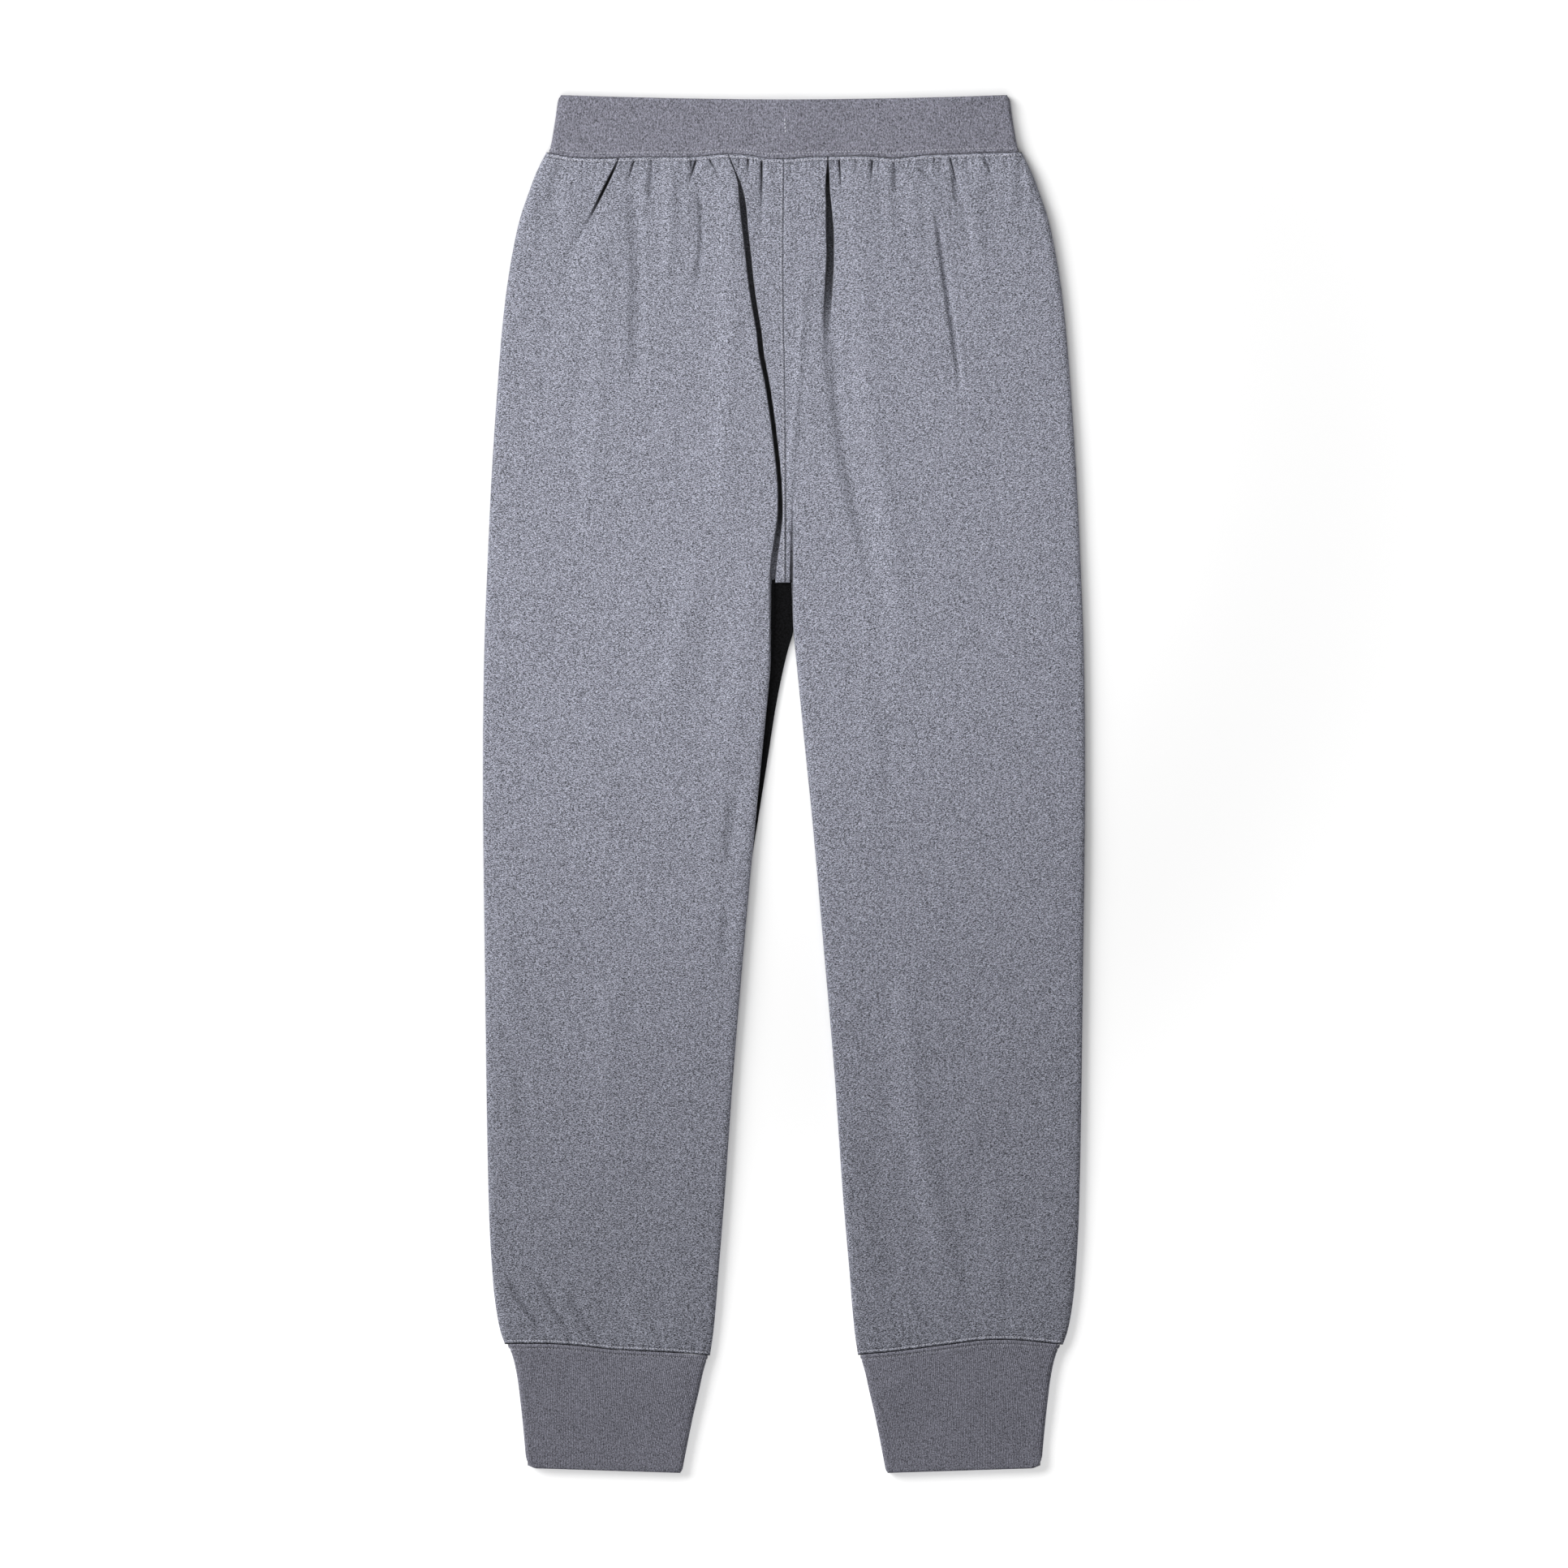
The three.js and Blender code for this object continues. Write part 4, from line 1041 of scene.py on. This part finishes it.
# The cuff rib's colour is set about 8% lighter than the waistband's rib as painted light, making up for the darker
# shading the cuffs get
CUFF_COLOUR = (0.204, 0.204, 0.2455)
SLUB, GRAIN = (1.3, 0.62, 1.0), (0.75, 0.5, 0.6)
fleece_left = knit("fleece_left", FLEECE_COLOUR, SLUB, -3, GRAIN, 1.1, 0.012, 0.35, 0.93, 0.06)
fleece_right = knit("fleece_right", FLEECE_COLOUR, SLUB, 19, GRAIN, 1.1, 0.012, 0.35, 0.93, 0.06)
waist_knit = knit("waist_knit", RIB_COLOUR, (1.1, 1.6, 1.1), 0, (0.6, 0.9, 0.6), 0.6, 0.03, 0.25, 0.9, 0.05)
cuff_knit = knit("cuff_knit", CUFF_COLOUR, (0.9, 1.1, 0.9), 0, (0.6, 0.8, 0.6), 0.6, 0.015, 0.25, 0.9, 0.05)


def inside_shadow_material():
    """Near-black painted shadow on the brushed inside of the fleece, seen only down in the gap at the crotch, where it
    stands for the shadow between the legs.
    """
    material, nodes, links = nodes_of("inside_painted_shadow")
    shader = nodes["Principled BSDF"]
    place = nodes.new("ShaderNodeTexCoord").outputs["Object"]
    nap = noise(nodes, links, place, (1.4, 1.4, 1.4), 0, 2.0)
    ramp = nodes.new("ShaderNodeValToRGB")
    ramp.color_ramp.elements[0].position = 0.35
    ramp.color_ramp.elements[0].color = (0.004, 0.004, 0.004, 1)
    ramp.color_ramp.elements[1].position = 0.65
    ramp.color_ramp.elements[1].color = (0.009, 0.009, 0.01, 1)
    links.new(nap, ramp.inputs["Fac"])
    links.new(ramp.outputs["Color"], shader.inputs["Base Color"])
    links.new(ranged(nodes, links, nap, 0.3, 0.7, 0.95, 1.0), shader.inputs["Roughness"])
    shader.inputs["Specular IOR Level"].default_value = 0.0
    bump = nodes.new("ShaderNodeBump")
    bump.inputs["Strength"].default_value = 0.4
    bump.inputs["Distance"].default_value = 0.0004
    links.new(nap, bump.inputs["Height"])
    links.new(bump.outputs["Normal"], shader.inputs["Normal"])
    return material


inside_painted_shadow = inside_shadow_material()


def thread_material():
    """Pale grey sewing thread with a fine twist."""
    material, nodes, links = nodes_of("sewing_thread")
    shader = nodes["Principled BSDF"]
    place = nodes.new("ShaderNodeTexCoord").outputs["Object"]
    twist = noise(nodes, links, place, (0.35, 0.5, 0.35), 35, 1.0)
    ramp = nodes.new("ShaderNodeValToRGB")
    ramp.color_ramp.elements[0].position = 0.35
    ramp.color_ramp.elements[0].color = (0.3, 0.3, 0.345, 1)
    ramp.color_ramp.elements[1].position = 0.65
    ramp.color_ramp.elements[1].color = (0.66, 0.665, 0.73, 1)
    links.new(twist, ramp.inputs["Fac"])
    links.new(ramp.outputs["Color"], shader.inputs["Base Color"])
    links.new(ranged(nodes, links, twist, 0.3, 0.7, 0.6, 0.75), shader.inputs["Roughness"])
    bump = nodes.new("ShaderNodeBump")
    bump.inputs["Strength"].default_value = 0.3
    bump.inputs["Distance"].default_value = 0.0001
    links.new(twist, bump.inputs["Height"])
    links.new(bump.outputs["Normal"], shader.inputs["Normal"])
    return material


thread = thread_material()

# Camera straight above, its frame 1932 pixels of 0.62 mm
PIXEL = 0.62
camera = bpy.data.objects.new("camera", bpy.data.cameras.new("camera"))
camera.data.type = "ORTHO"
camera.data.ortho_scale = 1932 * PIXEL * MM
camera.location = (0, 0, 4)
bpy.context.scene.collection.objects.link(camera)
bpy.context.scene.camera = camera
bpy.context.scene.view_settings.view_transform = "Standard"

# Pieces
back_left = panel("back_left_cloth", -1, False, fleece_left)
back_right = panel("back_right_cloth", 1, False, fleece_right)
front_left = panel("front_left_cloth", -1, True, fleece_left)
front_right = panel("front_right_cloth", 1, True, fleece_right)
waistband = rib_tube("waistband_rib", WAIST_TUBE, waist_knit)
LEFT_CUFF, RIGHT_CUFF = cuff_tube(-1), cuff_tube(1)
cuff_left = rib_tube("cuff_left_rib", LEFT_CUFF, cuff_knit)
cuff_right = rib_tube("cuff_right_rib", RIGHT_CUFF, cuff_knit)

LONG, WIDE = 1.75, 0.95
waist_rows = []
for layer in (1, -1):
    waist_rows.append((*rib_row(WAIST_TUBE, 3.5, layer), LONG * 0.75, WIDE * 0.7, 0.0))
for side in (-1, 1):
    for front, seam in ((False, back_waist), (True, front_seam)):
        row = fleece_row(seam, side, front, -2.2, sorted((side * 0.8, side * 181.5)))
        waist_rows.append((*row, LONG, WIDE, 0.5))
waist_stitches = stitches("waist_seam_stitches", waist_rows, thread)


def cuff_stitches(name, side, tube):
    rows = [(*rib_row(tube, 3.4, layer), LONG * 0.8, WIDE * 0.65, 0.0) for layer in (1, -1)]
    for front, seam in ((False, back_cuff(side)), (True, front_cuff)):
        row = fleece_row(seam, side, front, 2.2, sorted((side * 58.5, side * 211.5)))
        rows.append((*row, LONG, WIDE, 0.5))
    return stitches(name, rows, thread)


cuff_left_stitches = cuff_stitches("cuff_left_stitches", -1, LEFT_CUFF)
cuff_right_stitches = cuff_stitches("cuff_right_stitches", 1, RIGHT_CUFF)


def centre_back_row():
    """Topstitching beside the centre-back seam."""
    y = np.linspace(474, 157, 1200)
    x = smooth(CENTRE_BACK, y) - 1.7
    outer, _, _ = cloth_point(-1, x, y, False)
    return outer, np.tile([0.0, 0.0, 1.0], (len(y), 1)), 1.6, 0.6, 0.35


def tack(x_top, y_top, x_low, y_low):
    """Short row of stitches down the waistband."""
    y = np.linspace(y_top, y_low, 60)
    x = np.linspace(x_top, x_low, 60)
    z = np.full(60, WAIST_HEIGHT + 0.1) + band_puff(x, y)
    return np.stack([x, y, z], -1), np.tile([0.0, 0.0, 1.0], (60, 1)), 2.1, 1.15, 0.0


centre_stitches = stitches("centre_back_stitches", [centre_back_row()], thread)
waist_tack = stitches("waistband_tack", [tack(0.6, 508.6, 1.3, 497.2)], thread)

WAIST_GIRTH = 0.7
panels = (
    (back_left, "back_left", (0.232, 0.917), ["front_left_cloth"], [centre_stitches], 0.19),
    (back_right, "back_right", (0.232, 0.917), ["front_right_cloth"], [], 0.19),
    (front_left, "front_left", (0.232, 0.917), [], [], 0.189),
    (front_right, "front_right", (0.232, 0.917), [], [], 0.189),
)
for piece, node, flat, under, extras, area in panels:
    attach(piece, "root")
    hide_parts(node)
    for extra in extras:
        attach(extra, "root")
bands = (
    (waistband, "waistband", (WAIST_GIRTH, 0.0455), [waist_stitches, waist_tack]),
    (cuff_left, "cuff_left", (0.272, 0.0935), [cuff_left_stitches]),
    (cuff_right, "cuff_right", (0.272, 0.0935), [cuff_right_stitches]),
)
for piece, node, flat, extras in bands:
    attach(piece, "root")
    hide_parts(node)
    for extra in extras:
        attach(extra, "root")

# Floor and lights
FLOOR_DROP = 0.4 * MM
floor_mesh = bpy.data.meshes.new("floor")
FLOOR_CORNERS = [(x, y, -FLOOR_DROP) for x, y in ((-4, -4), (4, -4), (4, 4), (-4, 4))]
floor_mesh.from_pydata(FLOOR_CORNERS, [], [(0, 1, 2, 3)])
floor = bpy.data.objects.new("floor", floor_mesh)
bpy.context.scene.collection.objects.link(floor)
floor_material, floor_nodes, floor_links = nodes_of("floor_paper")
floor_nodes["Principled BSDF"].inputs["Base Color"].default_value = (0.95, 0.95, 0.95, 1)
floor_nodes["Principled BSDF"].inputs["Roughness"].default_value = 0.9
floor_nodes["Principled BSDF"].inputs["Specular IOR Level"].default_value = 0.1
# Backlight of the paper, from nothing round the light's middle to its full glow far away
far = floor_nodes.new("ShaderNodeVectorMath")
far.operation = "DISTANCE"
far.inputs[1].default_value = (-0.05, 0.3, -FLOOR_DROP)
floor_links.new(floor_nodes.new("ShaderNodeTexCoord").outputs["Object"], far.inputs[0])
glow = floor_nodes.new("ShaderNodeMapRange")
glow.interpolation_type = "SMOOTHSTEP"
for socket, value in (("From Min", 0.36), ("From Max", 0.88), ("To Min", 0.02), ("To Max", 0.5)):
    glow.inputs[socket].default_value = value
floor_links.new(far.outputs["Value"], glow.inputs["Value"])
floor_nodes["Principled BSDF"].inputs["Emission Color"].default_value = (1, 1, 1, 1)
floor_links.new(glow.outputs["Result"], floor_nodes["Principled BSDF"].inputs["Emission Strength"])
floor_mesh.materials.append(floor_material)

world = bpy.data.worlds.new("studio")
world.use_nodes = True
world.node_tree.nodes["Background"].inputs["Color"].default_value = (1, 1, 1, 1)
world.node_tree.nodes["Background"].inputs["Strength"].default_value = 0.19
bpy.context.scene.world = world


def aim(light, target):
    direction = Vector(target) - light.location
    light.rotation_euler = direction.to_track_quat("-Z", "Y").to_euler()


key = bpy.data.objects.new("key", bpy.data.lights.new("key", "SUN"))
key.data.energy = 2.8
key.data.angle = math.radians(38)
key.location = (-0.87, 0.5, 0.58)
aim(key, (0, 0, 0))
bpy.context.scene.collection.objects.link(key)

soft = bpy.data.objects.new("soft", bpy.data.lights.new("soft", "AREA"))
soft.data.shape = "RECTANGLE"
soft.data.size, soft.data.size_y = 1.04, 1.04
soft.data.energy = 5.5
soft.location = (-0.23, 0.33, 0.68)
aim(soft, (-0.33, 0.68, 0))
soft.visible_camera = False
bpy.context.scene.collection.objects.link(soft)
